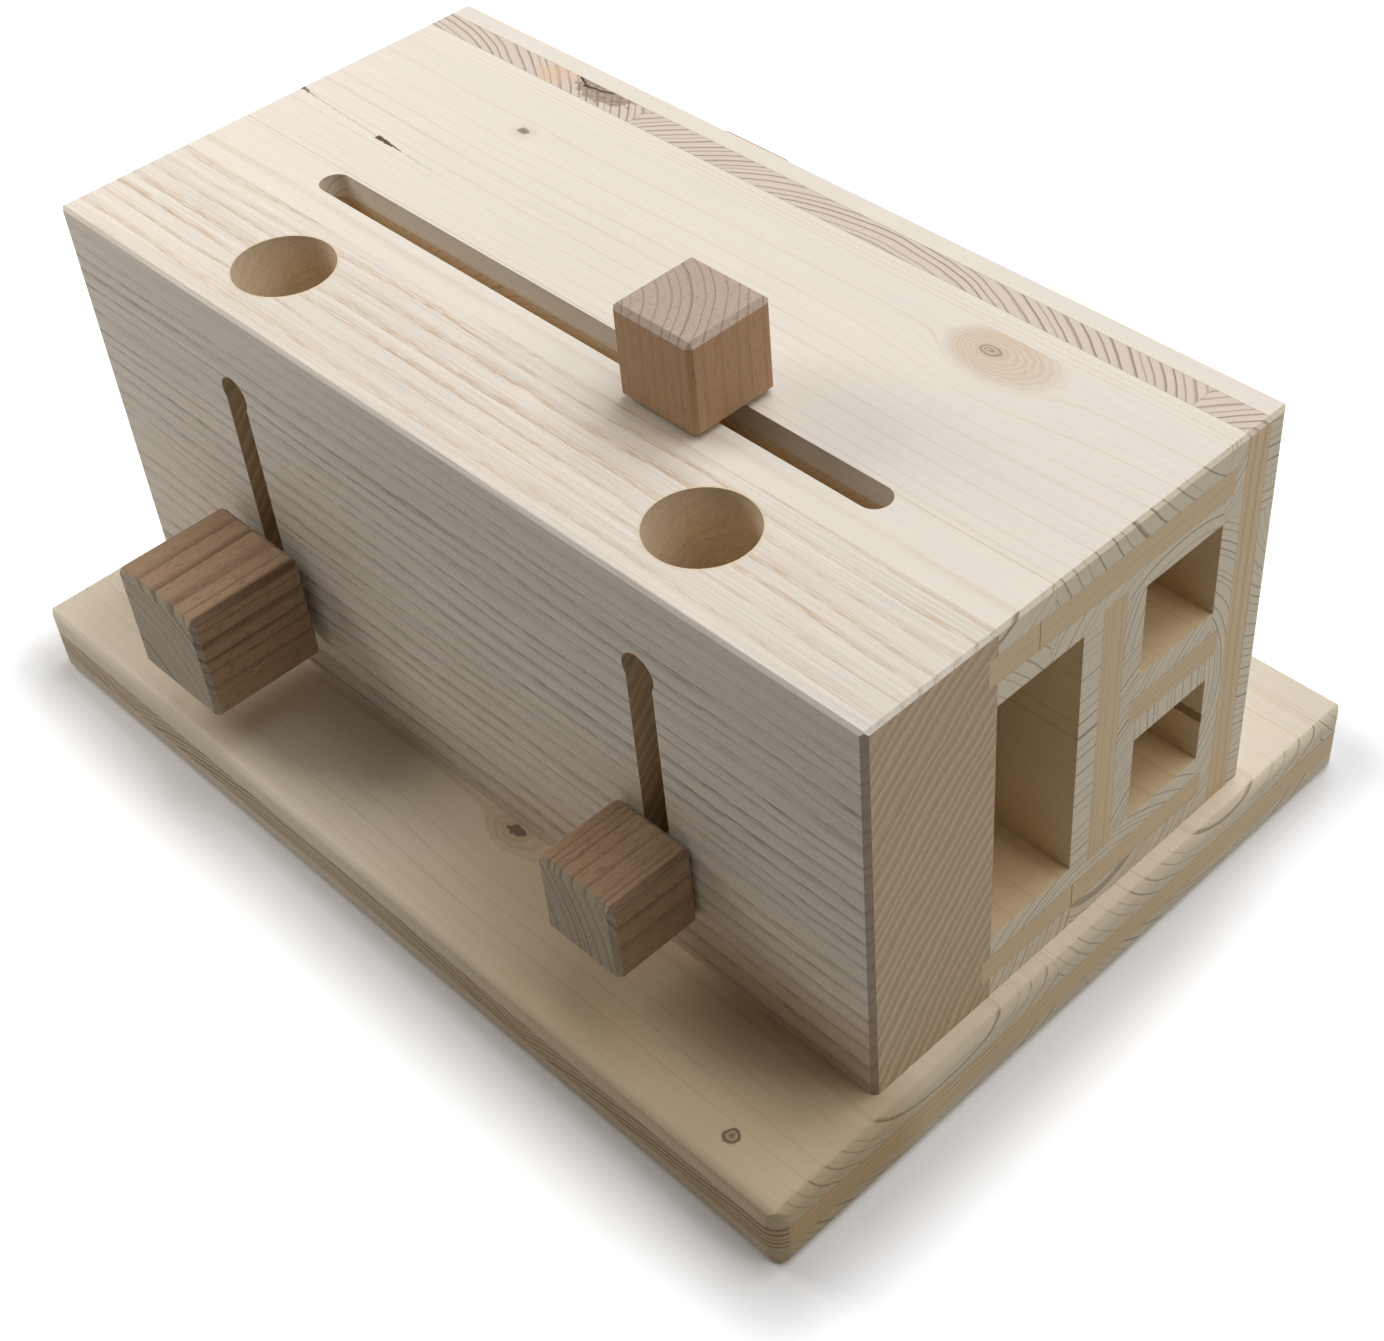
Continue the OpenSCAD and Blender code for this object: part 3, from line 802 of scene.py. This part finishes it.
# %% Marks on the rear panel
def rear_marks(tree, xyz, ply):
    """A streak of pitch in the lower channel, and the core's dark, cracked knot on the top edge."""
    streak = slit(tree, xyz["X"], xyz["Z"], (93.0, 50.4), (127.0, 50.4), (2.2, 2.8))
    inner = [xyz["Y"], SIDE - PANEL + 0.5]
    inner = add(tree, "ShaderNodeMath", inner, operation="LESS_THAN")
    streak = add(tree, "ShaderNodeMath", [streak, inner], operation="MULTIPLY")
    streak = add(tree, "ShaderNodeMath", [streak, 0.8], operation="MULTIPLY")
    paints = [(streak, "#8a6a48", "MIX")]

    place = add(tree, "ShaderNodeCombineXYZ", [xyz["X"], xyz["Y"]])
    edge = add(tree, "ShaderNodeMath", [xyz["Z"], 100.0], operation="GREATER_THAN")
    edge = add(tree, "ShaderNodeMath", [edge, ply["core"]], operation="MULTIPLY")
    blush = dict(size=6.0, flatness=0.9, ragged=1.5, soft=2.5)
    dark = dict(size=9.5, flatness=0.55, lean=0.1, ragged=1.8, ring_width=1.9)
    burl = (("Halo", 0.65, "#97806f"), ("Halo Rings", 0.5, "#6b5648"))
    for knot in (
        ((-83.0, 52.0), blush, [("Halo", 0.55, "#e2bda0")]),
        ((-67.0, 54.5), dark, burl),
    ):
        paints += knotted(tree, place, edge, [knot])[1]

    for start, end, widths in (
        ((-79.5, 57.0), (-72.0, 52.8), (1.2, 0.6)),
        ((-72.8, 52.8), (-67.0, 53.6), (0.9, 0.6)),
        ((-67.5, 53.4), (-61.0, 56.0), (0.8, 0.2)),
    ):
        crack = slit(tree, xyz["X"], xyz["Y"], start, end, widths)
        crack = add(tree, "ShaderNodeMath", [crack, edge], operation="MULTIPLY")
        paints.append((crack, "#3a2c24", "MIX"))
    return paints


print("the rear panel's inner face is at y", round(SIDE - PANEL), "mm")

# %% [markdown]
# ## Where each panel's boards lie
#
# The boards of each ply were picked from the picture: how wide they are, where their joints
# fall, and which side of the tree they came from. A pith close to the face gives arcs on the
# end and wide flames on the face. A pith far off to one side gives slanting ticks and fine
# straight lines. The panels' heights and depths come from the pieces themselves.


# %% The boards of a panel's skins and cores
def boards(lower, upper):
    """A panel's two skins, each as its boards' width and start, its pith and its rings' width."""
    names = ("board_width", "board_start", "pith_across", "pith_depth", "ring_width")
    return dict(zip(names, zip(lower, upper)))


PLAIN_CORE = dict(
    board_width=120.0, board_start=-60.0, pith_across_spread=40.0, pith_depth=-60.0,
    ring_width=1.7, late_width=0.8,
)
FAR_CORE = dict(
    board_width=150.0, board_start=-95.0, pith_across_spread=30.0, pith_depth=-240.0,
    ring_width=1.7, tick_width=1.2, waver=1.6, ripple=0.5, luck=1.2,
)
ARCHED_CORE = dict(
    board_width=164.0, board_start=-216.0, pith_depth=-62.0,
    ring_width=2.0, tick_width=0.8, waver=1.6, ripple=0.4, luck=1.2,
)
print("a skin has", *boards((0,) * 5, (0,) * 5))

# %% The six panels
panels = {
    "top_panel": three_ply(
        "top_panel", "Y", "Z",
        boards((81.0, -9.6, 0.0, -25.0, 2.6), (110.0, -8.6, 25.0, 50.0, 3.2)),
        {**PLAIN_CORE, "ring_width": 2.0},
        seed=1.0, knots=(BIG_KNOT, SMALL_KNOT), marks_and_shade=top_marks,
        butt=-14.3, core_end=("#e2d0b8", "#9c8266"), lines=0.36,
    ),
    "bottom_panel": three_ply(
        "bottom_panel", "Y", "Z",
        boards((60.0, 0.0, -20.0, 20.0, 2.2), (120.0, -52.0, 0.0, -25.0, 2.6)),
        PLAIN_CORE, seed=2.0, butt=0.3,
    ),
    "partition": three_ply(
        "partition", "Z", "Y",
        boards((150.0, 0.0, 110.0, 0.0, 3.2), (90.0, 0.0, -60.0, 75.0, 1.5)),
        PLAIN_CORE, seed=3.0,
    ),
    "shelf": three_ply(
        "shelf", "Y", "Z",
        boards((90.0, -15.0, 70.0, 6.0, 2.0), (90.0, -15.0, 60.0, -50.0, 1.9)),
        PLAIN_CORE, seed=4.0,
    ),
    "rear_panel": three_ply(
        "rear_panel", "Z", "Y",
        boards((86.0, 19.0, 0.0, -28.0, 1.9), (110.0, -10.0, 60.0, 40.0, 2.2)),
        ARCHED_CORE, seed=5.0, marks_and_shade=rear_marks,
    ),
    "base_plate": three_ply(
        "base_plate", "Y", "Z",
        boards((95.0, -95.0, 0.0, 50.0, 2.2), (95.0, -105.0, 12.0, 60.0, 3.0)),
        FAR_CORE, seed=6.0, knots=(CORNER_KNOT, WALL_KNOT), marks_and_shade=base_ledge_shade,
        palette=WARM_SPRUCE, core_end=("#d5c2a3", "#584233"), lines=0.38,
    ),
}

for name, material in panels.items():
    print(name, len(material.node_tree.nodes), "nodes")

# %% [markdown]
# ## Solid pieces
#
# The block, the knobs and the pins are each cut from one piece. All that one needs is the axis
# that its grain follows, and where its pith lies from its own middle. Ash, oak and beech are
# hardwoods: their wood is full of tubes, which a cut along the grain opens to thin dark
# dashes. They are drawn 0.3 mm wide, a little wider than they are, so that they show.

# %% Where a piece's grain runs
AXES = {"X": ("X", "Y", "Z"), "Y": ("Y", "X", "Z"), "Z": ("Z", "X", "Y")}
ONE_BOARD = dict(board_width=400.0, board_start=-200.0)


def middle_of(node):
    """The middle of a piece, in metres."""
    low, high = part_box(node)
    return (low + high) / 2


def local_place(tree, xyz, node, grain):
    """The place from the middle of a piece, with x along its grain."""
    axes = AXES[grain]
    place = add(tree, "ShaderNodeCombineXYZ", [xyz[axis] for axis in axes])
    centre = Vector([middle_of(node)["XYZ".index(axis)] / MM for axis in axes])
    return add(tree, "ShaderNodeVectorMath", [place, centre], operation="SUBTRACT")


print("the top knob's middle:", [round(v / MM) for v in middle_of("top_knob")], "mm")

# %% [markdown]
# ## The ash block
#
# The block is ash. Its rings are bands of open pores, which show on the top and the front as
# rows of dark dashes with plain wood between. On its right end the rings are pale slanting
# stripes on tan. Both come from the rings of one pith, far off below and behind.

# %% Ash in rows of dashes
# Sanded ash under thin matt lacquer is cream with brown dashes, and tan at its sawn end
ash, tree, xyz, normal = start_wood("lacquered_ash")
local = local_place(tree, xyz, "front_block", "X")
sizes = dict(ONE_BOARD, pith_across=180.0, pith_depth=-180.0, ring_width=3.1, late_width=1.6)
sizes.update(tick_width=2.0, waver=1.2, ripple=0.9, luck=0.9)
ring = ringed(tree, local, sizes)
pores = [local, (0.16, 3.2, 3.2)]
pores = add(tree, "ShaderNodeVectorMath", pores, operation="MULTIPLY")
speck = add(tree, "ShaderNodeTexNoise", {"Vector": pores, "Scale": 1.0, "Detail": 1.0})
dash = add(tree, "ShaderNodeMapRange", [speck, 0.4, 0.58, 0.15, 1.05])
late = add(tree, "ShaderNodeMath", [ring["Late"], dash], operation="MULTIPLY")

# In the top 10 mm of the front they are faint: a painted highlight below the lit top edge
lip_highlight = add(tree, "ShaderNodeMapRange", [xyz["Z"], TOP - 14.0, TOP - 6.0, 1.0, 0.5])
faint = add(tree, "ShaderNodeMix", {0: normal["Y"], 2: 1.0, 3: lip_highlight})
late = add(tree, "ShaderNodeMath", [late, faint], operation="MULTIPLY")
# The front's dashes are greyer and darker than the top's: painted shade, as the front faces away
# from the light
lines = {0: normal["Z"], 6: linear("#86735c"), 7: linear("#c6a37d")}
line = add(tree, "ShaderNodeMix", lines, out=2, data_type="RGBA")
print("the block's rings are", sizes["ring_width"], "mm wide")

# %% [markdown]
# The drill left the wells' walls paler than the sawn end, and their rings softer. So one mask
# measures how far a point is from the nearer well's axis, and everything that belongs to the
# outside of the block stops at the wells' rim.

# %% The wells' walls
WELL_X, WELL_Y = (value / MM for value in middle_of("right_piston")[:2])
WELL_RIM = (12.0, 12.5)
off_x = add(tree, "ShaderNodeMath", [xyz["X"]], operation="ABSOLUTE")
off_x = add(tree, "ShaderNodeMath", [off_x, WELL_X], operation="SUBTRACT")
off_y = add(tree, "ShaderNodeMath", [xyz["Y"], WELL_Y], operation="SUBTRACT")
off = add(tree, "ShaderNodeCombineXYZ", [off_x, off_y])
off = add(tree, "ShaderNodeVectorMath", [off], out="Value", operation="LENGTH")
in_well = add(tree, "ShaderNodeMapRange", [off, *WELL_RIM, 1.0, 0.0])
beyond = add(tree, "ShaderNodeMapRange", [off, *WELL_RIM, 0.1, 1.0])
endness = [normal["X"], 0.8, 0.95]
endness = add(tree, "ShaderNodeMapRange", endness, interpolation_type="SMOOTHSTEP")
endness = add(tree, "ShaderNodeMath", [endness, beyond], operation="MULTIPLY")
outer = add(tree, "ShaderNodeMapRange", [off, *WELL_RIM, 0.25, 1.0])
soft = add(tree, "ShaderNodeMath", [ring["Tick"], 0.7], operation="POWER")
ring["Tick"] = add(tree, "ShaderNodeMath", [soft, outer], operation="MULTIPLY")
ring["Late"] = add(tree, "ShaderNodeMath", [late, outer], operation="MULTIPLY")
print("the wells' axes are at x +-", round(WELL_X, 2), "y", round(WELL_Y, 2))

# %% The block's painted warm shade, dark upright edges and long streaks
# Painted warm shade low on the right of the front, by the base, where the front is in shadow
low = [xyz["Z"], 50.0, 26.0]
low = add(tree, "ShaderNodeMapRange", low, interpolation_type="SMOOTHSTEP")
right = [xyz["X"], -20.0, 80.0]
right = add(tree, "ShaderNodeMapRange", right, interpolation_type="SMOOTHSTEP")
low_right_shade = add(tree, "ShaderNodeMath", [low, right], operation="MULTIPLY")
low_right_shade = add(tree, "ShaderNodeMath", [low_right_shade, normal["Y"]], operation="MULTIPLY")
low_right_shade = add(tree, "ShaderNodeMath", [low_right_shade, 0.6], operation="MULTIPLY")

# The rounded upright edges, where the end turns into the front and back, are drawn dark brown
turn = add(tree, "ShaderNodeMath", [normal["X"], normal["Y"]], operation="MULTIPLY")
edge = add(tree, "ShaderNodeMapRange", [turn, 0.3, 0.45, 0.0, 0.7])
edge = add(tree, "ShaderNodeMath", [edge, in_well], operation="SUBTRACT", use_clamp=True)
grainy = [local, (0.03, 1.5, 1.5)]
grainy = add(tree, "ShaderNodeVectorMath", grainy, operation="MULTIPLY")
grainy = add(tree, "ShaderNodeTexNoise", {"Vector": grainy, "Scale": 1.0, "Detail": 3.0})
streaks = add(tree, "ShaderNodeMapRange", [grainy, 0.35, 0.65, 0.92, 1.04], clamp=False)
print("ash so far:", len(tree.nodes), "nodes")

# %% Ash's colours
ash_colours = ("#e9e0d4", line, "#b8a183", "#d8c6a6")
ash_paints = [
    (1.0, streaks, "MULTIPLY"),
    # painted warm shade
    (low_right_shade, "#e0c2a8", "MULTIPLY"),
    (edge, "#86684f", "MIX"),
    # A warm painted shade down the wells' walls
    (in_well, "#fdf4e4", "MULTIPLY"),
    # Bare wood in the block's slots and wells, with a faint warm painted shade
    (bare_and_shaded_inside(tree, xyz, normal), "#fdf7ec", "MULTIPLY"),
]
solids = {"front_block": wood_surface(ash, ring, endness, ash_colours, (0.85, 0.7), ash_paints)}
print("front_block", len(tree.nodes), "nodes")

# %% [markdown]
# ## Knobs, pins and pushers
#
# The knobs are cut from hardwood squares: the one on top looks like steamed beech, a pinkish
# brown with fine dark flecks, and the two in front like oak, with strong dark rings. Clear oil
# darkens both. The top knob's end grain faces up and the front ones' end grain faces the dog.
# The pins and pistons are plain turned beech, and the pushers sanded pine, both left pale.
# What tells them apart is colour, the strength of the rings and the flecks, so one function
# makes them all.


# %% One piece of wood
def solid_wood(name, grain, node, colours, contrast, flecks=0.0, **sizes):
    """One piece of wood: its grain's axis, its colours, and the sizes of its rings."""
    material, tree, xyz, normal = start_wood(name)
    local = local_place(tree, xyz, node, grain)
    ring = ringed(tree, local, {**ONE_BOARD, **sizes})
    endness = [normal[AXES[grain][0]], 0.45, 0.75]
    endness = add(tree, "ShaderNodeMapRange", endness, interpolation_type="SMOOTHSTEP")
    paints = []
    if flecks:
        pores = [local, (0.3, 2.4, 2.4)]
        pores = add(tree, "ShaderNodeVectorMath", pores, operation="MULTIPLY")
        speck = add(tree, "ShaderNodeTexNoise", {"Vector": pores, "Scale": 1.0, "Detail": 1.0})
        fleck = add(tree, "ShaderNodeMapRange", [speck, 0.56, 0.66, 0.0, flecks])
        paints.append((fleck, colours[3], "MIX"))
    return wood_surface(material, ring, endness, colours, contrast, paints)


# Steamed beech under oil is a warm pinkish brown with soft rings
BEECH = ("#b89473", "#987255", "#bba899", "#82685c")
# Oiled oak is a greyer brown, and its rings are strong and dark
OAK = ("#a38669", "#624830", "#a6977f", "#5f5245")
# Beech straight from the lathe is straw coloured, and darker at its ends
DOWEL = ("#d8ba92", "#b99468", "#c3a27c", "#94744f")
# Sanded pine is a little yellower, with clearer lines
PINE = ("#dcc49c", "#bd9764", "#c9b08a", "#8e7350")
print("four woods, each with", len(BEECH), "colours")

# %% Knobs
solids["top_knob"] = solid_wood(
    "oiled_beech_top_knob", "Z", "top_knob", BEECH, (0.5, 0.7), flecks=0.35,
    pith_across=-26.0, pith_depth=-26.0, ring_width=2.3, waver=0.6, luck=1.0, seed=2.0,
)
for number, node in enumerate(("left_knob", "right_knob")):
    solids[node] = solid_wood(
        "oiled_oak_" + node, "Y", node, OAK, (0.8, 0.85), flecks=0.5,
        late_width=1.2, tick_width=1.4, pith_across=-22.0 - 20 * number,
        pith_depth=-30.0 + 18 * number, ring_width=2.6, waver=0.9, seed=4.0 + number,
    )
for number, node in enumerate(("upper_knob", "lower_knob")):
    solids[node] = solid_wood(
        "oiled_beech_" + node, "Y", node, BEECH, (0.5, 0.7), flecks=0.35,
        pith_across=30.0 - 50 * number, pith_depth=-20.0, ring_width=2.4, waver=0.6,
        seed=7.0 + number,
    )
print("block and knobs:", len(solids))

# %% Pushers, pins and pistons
for number, node in enumerate(("tall_pusher", "upper_pusher", "lower_pusher")):
    solids[node] = solid_wood(
        "sanded_pine_" + node, "X", node, PINE, (0.6, 0.8),
        pith_across=15.0 * number - 20.0, pith_depth=-35.0, ring_width=3.0, seed=10.0 + number,
    )
upright = ["top_pin", "left_piston", "right_piston"]
for number, node in enumerate(upright + ["left_pin", "right_pin", "upper_pin", "lower_pin"]):
    grain = "Z" if node in upright else "Y"
    solids[node] = solid_wood(
        "turned_beech_" + node, grain, node, DOWEL, (0.5, 0.8), flecks=0.25,
        pith_across=12.0, pith_depth=-16.0, ring_width=1.8, waver=0.4, seed=14.0 + number,
    )
print(len(solids), "solid pieces")

# %% [markdown]
# ## Dressing the pieces
#
# The frame's meshes arrive as loose triangles with hard edges. A small Geometry Nodes tree
# welds them and shades the round stretches smooth, and a narrow bevel breaks the sharp edges
# of the moving pieces as a pass of sandpaper does, so that each edge catches a thin line of
# light. The box's pieces meet flush, so theirs stay sharp.

# %% Weld and shade
weld_inputs = {"Geometry": "Geometry", "Weld Distance": 0.02 * MM, "Sharp Angle": radians(25)}
weld, given = new_group(
    "weld_and_shade", "GeometryNodeTree", weld_inputs, {"Geometry": "Geometry"}
)
joined = {"Geometry": given["Geometry"], "Distance": given["Weld Distance"]}
welded = add(weld, "GeometryNodeMergeByDistance", joined)
angle = add(weld, "GeometryNodeInputMeshEdgeAngle")
sharp = {"A": angle, "B": given["Sharp Angle"]}
sharp = add(weld, "FunctionNodeCompare", sharp, operation="GREATER_THAN")
faces = {"Geometry": welded, "Shade Smooth": True}
smooth = add(weld, "GeometryNodeSetShadeSmooth", faces, domain="FACE")
edges = {"Geometry": smooth, "Selection": sharp, "Shade Smooth": False}
edged = add(weld, "GeometryNodeSetShadeSmooth", edges, domain="EDGE")
add(weld, "NodeGroupOutput", [edged], out=None)
print("weld and shade:", len(weld.nodes), "nodes")


# %% Dress each piece
EDGE_BREAK = 0.3 * MM


def dress(piece, material, loose):
    """Gives a piece its wood, and breaks the sharp edges of a loose one."""
    for slot in piece.material_slots:
        slot.material = material
    if not piece.material_slots:
        piece.data.materials.append(material)
    piece.modifiers.new("weld", "NODES").node_group = weld
    if not loose:
        return
    bevel = piece.modifiers.new("broken_edges", "BEVEL")
    bevel.width = EDGE_BREAK
    bevel.segments = 2
    bevel.limit_method = "ANGLE"
    bevel.angle_limit = radians(35)
    bevel.harden_normals = True


glued = frame["record"]["behaviour"]["bodies"]["box"]
for name, material in {**panels, **solids}.items():
    dress(nodes[name], material, loose=name not in glued)
print(len(nodes) - len(panels) - len(solids), "piece left to dress")

# %% [markdown]
# ## Screws
#
# Six countersunk wood screws hold the base plate. Only their heads show, from below:
# zinc-plated steel with a cross recess. All six are the same, so Geometry Nodes make one and
# stand it on a grid of points, each turned by chance, as real screws end up. The length and
# the rows come from the sizes of the frame's own piece.

# %% What a screw is made from
SCREW_SIZES = {
    "Head Radius": 4.0 * MM,
    "Shank Radius": 2.0 * MM,
    "Head Height": 2.0 * MM,
    "Length": 40.0 * MM,
    "Recess Width": 0.9 * MM,
    "Recess Reach": 2.3 * MM,
    "Recess Depth": 1.5 * MM,
    "Rows Length": 200.0 * MM,
    "Rows Depth": 100.0 * MM,
}
screw_inputs = {**SCREW_SIZES, "Middle": "Vector", "Finish": "Material"}
screw_tree, given = new_group(
    "screw_set", "GeometryNodeTree", screw_inputs, {"Geometry": "Geometry"}
)
print("a screw has", len(SCREW_SIZES), "sizes")

# %% The head is a cone, and the shank a cylinder that ends in a cone
AROUND = 32
shank_radius = given["Shank Radius"]
head = {"Vertices": AROUND, "Radius Top": shank_radius, "Radius Bottom": given["Head Radius"]}
head = add(screw_tree, "GeometryNodeMeshCone", {**head, "Depth": given["Head Height"]})
tip_height = add(screw_tree, "ShaderNodeMath", [shank_radius, 2.0], operation="MULTIPLY")
body = add(screw_tree, "ShaderNodeMath", [given["Length"], tip_height], operation="SUBTRACT")
half_head = add(screw_tree, "ShaderNodeMath", [given["Head Height"], 0.5], operation="MULTIPLY")
body = add(screw_tree, "ShaderNodeMath", [body, half_head], operation="SUBTRACT")
shank = {"Vertices": AROUND, "Radius": shank_radius, "Depth": body}
shank = add(screw_tree, "GeometryNodeMeshCylinder", shank)
half_body = add(screw_tree, "ShaderNodeMath", [body, 0.5], operation="MULTIPLY")
rise = add(screw_tree, "ShaderNodeMath", [half_head, half_body], operation="ADD")
rise = add(screw_tree, "ShaderNodeCombineXYZ", {"Z": rise})
shank = add(screw_tree, "GeometryNodeTransform", {"Geometry": shank, "Translation": rise})
tip_place = add(screw_tree, "ShaderNodeMath", [half_head, body], operation="ADD")
tip_place = add(screw_tree, "ShaderNodeCombineXYZ", {"Z": tip_place})
tip = {"Vertices": AROUND, "Radius Bottom": shank_radius, "Radius Top": 0.0, "Depth": tip_height}
tip = add(screw_tree, "GeometryNodeMeshCone", tip)
tip = add(screw_tree, "GeometryNodeTransform", {"Geometry": tip, "Translation": tip_place})
print("screw so far:", len(screw_tree.nodes), "nodes")

# %% Two crossed bars are cut out of the head
reach = add(screw_tree, "ShaderNodeMath", [given["Recess Reach"], 2.0], operation="MULTIPLY")
deep = add(screw_tree, "ShaderNodeMath", [given["Recess Depth"], 2.0], operation="MULTIPLY")
across = add(screw_tree, "ShaderNodeCombineXYZ", [reach, given["Recess Width"], deep])
along = add(screw_tree, "ShaderNodeCombineXYZ", [given["Recess Width"], reach, deep])
bars = [add(screw_tree, "GeometryNodeMeshCube", {"Size": size}) for size in (across, along)]
exact = dict(solver="EXACT", out=None)
whole = add(screw_tree, "GeometryNodeMeshBoolean", operation="UNION", **exact)
for part in (head, shank, tip):
    screw_tree.links.new(part, whole.inputs["Mesh 2"])
screw = {"Mesh 1": whole.outputs[0]}
screw = add(screw_tree, "GeometryNodeMeshBoolean", screw, operation="DIFFERENCE", **exact)
for bar in bars:
    screw_tree.links.new(bar, screw.inputs["Mesh 2"])
print("screw so far:", len(screw_tree.nodes), "nodes")

# %% Six places, each screw turned by chance, with a fixed seed
grid = {"Size X": given["Rows Length"], "Size Y": given["Rows Depth"]}
grid = add(screw_tree, "GeometryNodeMeshGrid", {**grid, "Vertices X": 3, "Vertices Y": 2})
placed = {"Geometry": grid, "Translation": given["Middle"]}
placed = add(screw_tree, "GeometryNodeTransform", placed)
turn = {"Min": (0, 0, 0), "Max": (0, 0, 6.28), "Seed": 3}
turn = add(screw_tree, "FunctionNodeRandomValue", turn, data_type="FLOAT_VECTOR")
stood = {"Points": placed, "Instance": screw.outputs[0], "Rotation": turn}
stood = add(screw_tree, "GeometryNodeInstanceOnPoints", stood)
real = add(screw_tree, "GeometryNodeRealizeInstances", {"Geometry": stood})
done = {"Geometry": real, "Material": given["Finish"]}
done = add(screw_tree, "GeometryNodeSetMaterial", done)
add(screw_tree, "NodeGroupOutput", [done], out=None)
print("screw tree:", len(screw_tree.nodes), "nodes")

# %% [markdown]
# Zinc plating on a small screw is tumbled, not polished. The eye gets a soft grey metal whose
# tint drifts from bluish to straw yellow, with scratches too fine to count.


# %% Zinc-plated steel
def zinc_finish():
    """Zinc-plated steel, tumbled: a soft grey metal with a cloudy tint and fine scratches."""
    material = new_material("zinc_plated_steel")
    tree = material.node_tree
    here = add(tree, "ShaderNodeTexCoord", out="Object")
    cloud = add(tree, "ShaderNodeTexNoise", {"Vector": here, "Scale": 600.0, "Detail": 2.0})
    tints = {0: cloud, 6: linear("#c2c5c8"), 7: linear("#cfc9b8")}
    tint = add(tree, "ShaderNodeMix", tints, out=2, data_type="RGBA")
    lines = [here, (900.0, 9000.0, 900.0)]
    lines = add(tree, "ShaderNodeVectorMath", lines, operation="MULTIPLY")
    scratch = add(tree, "ShaderNodeTexNoise", {"Vector": lines, "Scale": 1.0, "Detail": 3.0})
    rough = add(tree, "ShaderNodeMapRange", [scratch, 0.3, 0.7, 0.28, 0.45])
    bump = {"Strength": 0.2, "Distance": 0.02 * MM, "Height": scratch}
    bump = add(tree, "ShaderNodeBump", bump)
    metal = {"Base Color": tint, "Roughness": rough, "Metallic": 1.0, "Normal": bump}
    shader = add(tree, "ShaderNodeBsdfPrincipled", metal)
    add(tree, "ShaderNodeOutputMaterial", [shader], out=None)
    return material


zinc = zinc_finish()
print("zinc:", len(zinc.node_tree.nodes), "nodes")

# %% The screws' sizes
low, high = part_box("base_screws")
head_width = 2 * SCREW_SIZES["Head Radius"]
sizes = {
    "Length": high.z - low.z,
    "Rows Length": high.x - low.x - head_width,
    "Rows Depth": high.y - low.y - head_width,
    "Middle": ((low.x + high.x) / 2, (low.y + high.y) / 2, low.z),
    "Finish": zinc,
}
carrier = bpy.data.objects.new("screw_carrier", bpy.data.meshes.new("screw_carrier"))
scene.collection.objects.link(carrier)
modifier = carrier.modifiers.new("screws", "NODES")
modifier.node_group = screw_tree
for item in screw_tree.interface.items_tree:
    if item.name in sizes and item.in_out == "INPUT":
        modifier[item.identifier] = sizes[item.name]
print("rows of screws:", [round(sizes[name] / MM) for name in ("Rows Length", "Rows Depth")], "mm")

# %% The six screws as a plain mesh
bpy.context.view_layer.update()
evaluated = carrier.evaluated_get(bpy.context.evaluated_depsgraph_get())
screw_mesh = bpy.data.meshes.new_from_object(evaluated)
screws = bpy.data.objects.new("countersunk_screws", screw_mesh)
scene.collection.objects.link(screws)
bpy.data.objects.remove(carrier)
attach(screws, "box")
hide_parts("base_screws")
print("screws:", len(screw_mesh.polygons), "faces,", round(screws.dimensions.z / MM, 1), "mm long")

# %% Finish
boxes = {"cad": cad_box, "visual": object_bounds()}
boxes = {name: [list(corner) for corner in box] for name, box in boxes.items()}
print(boxes)
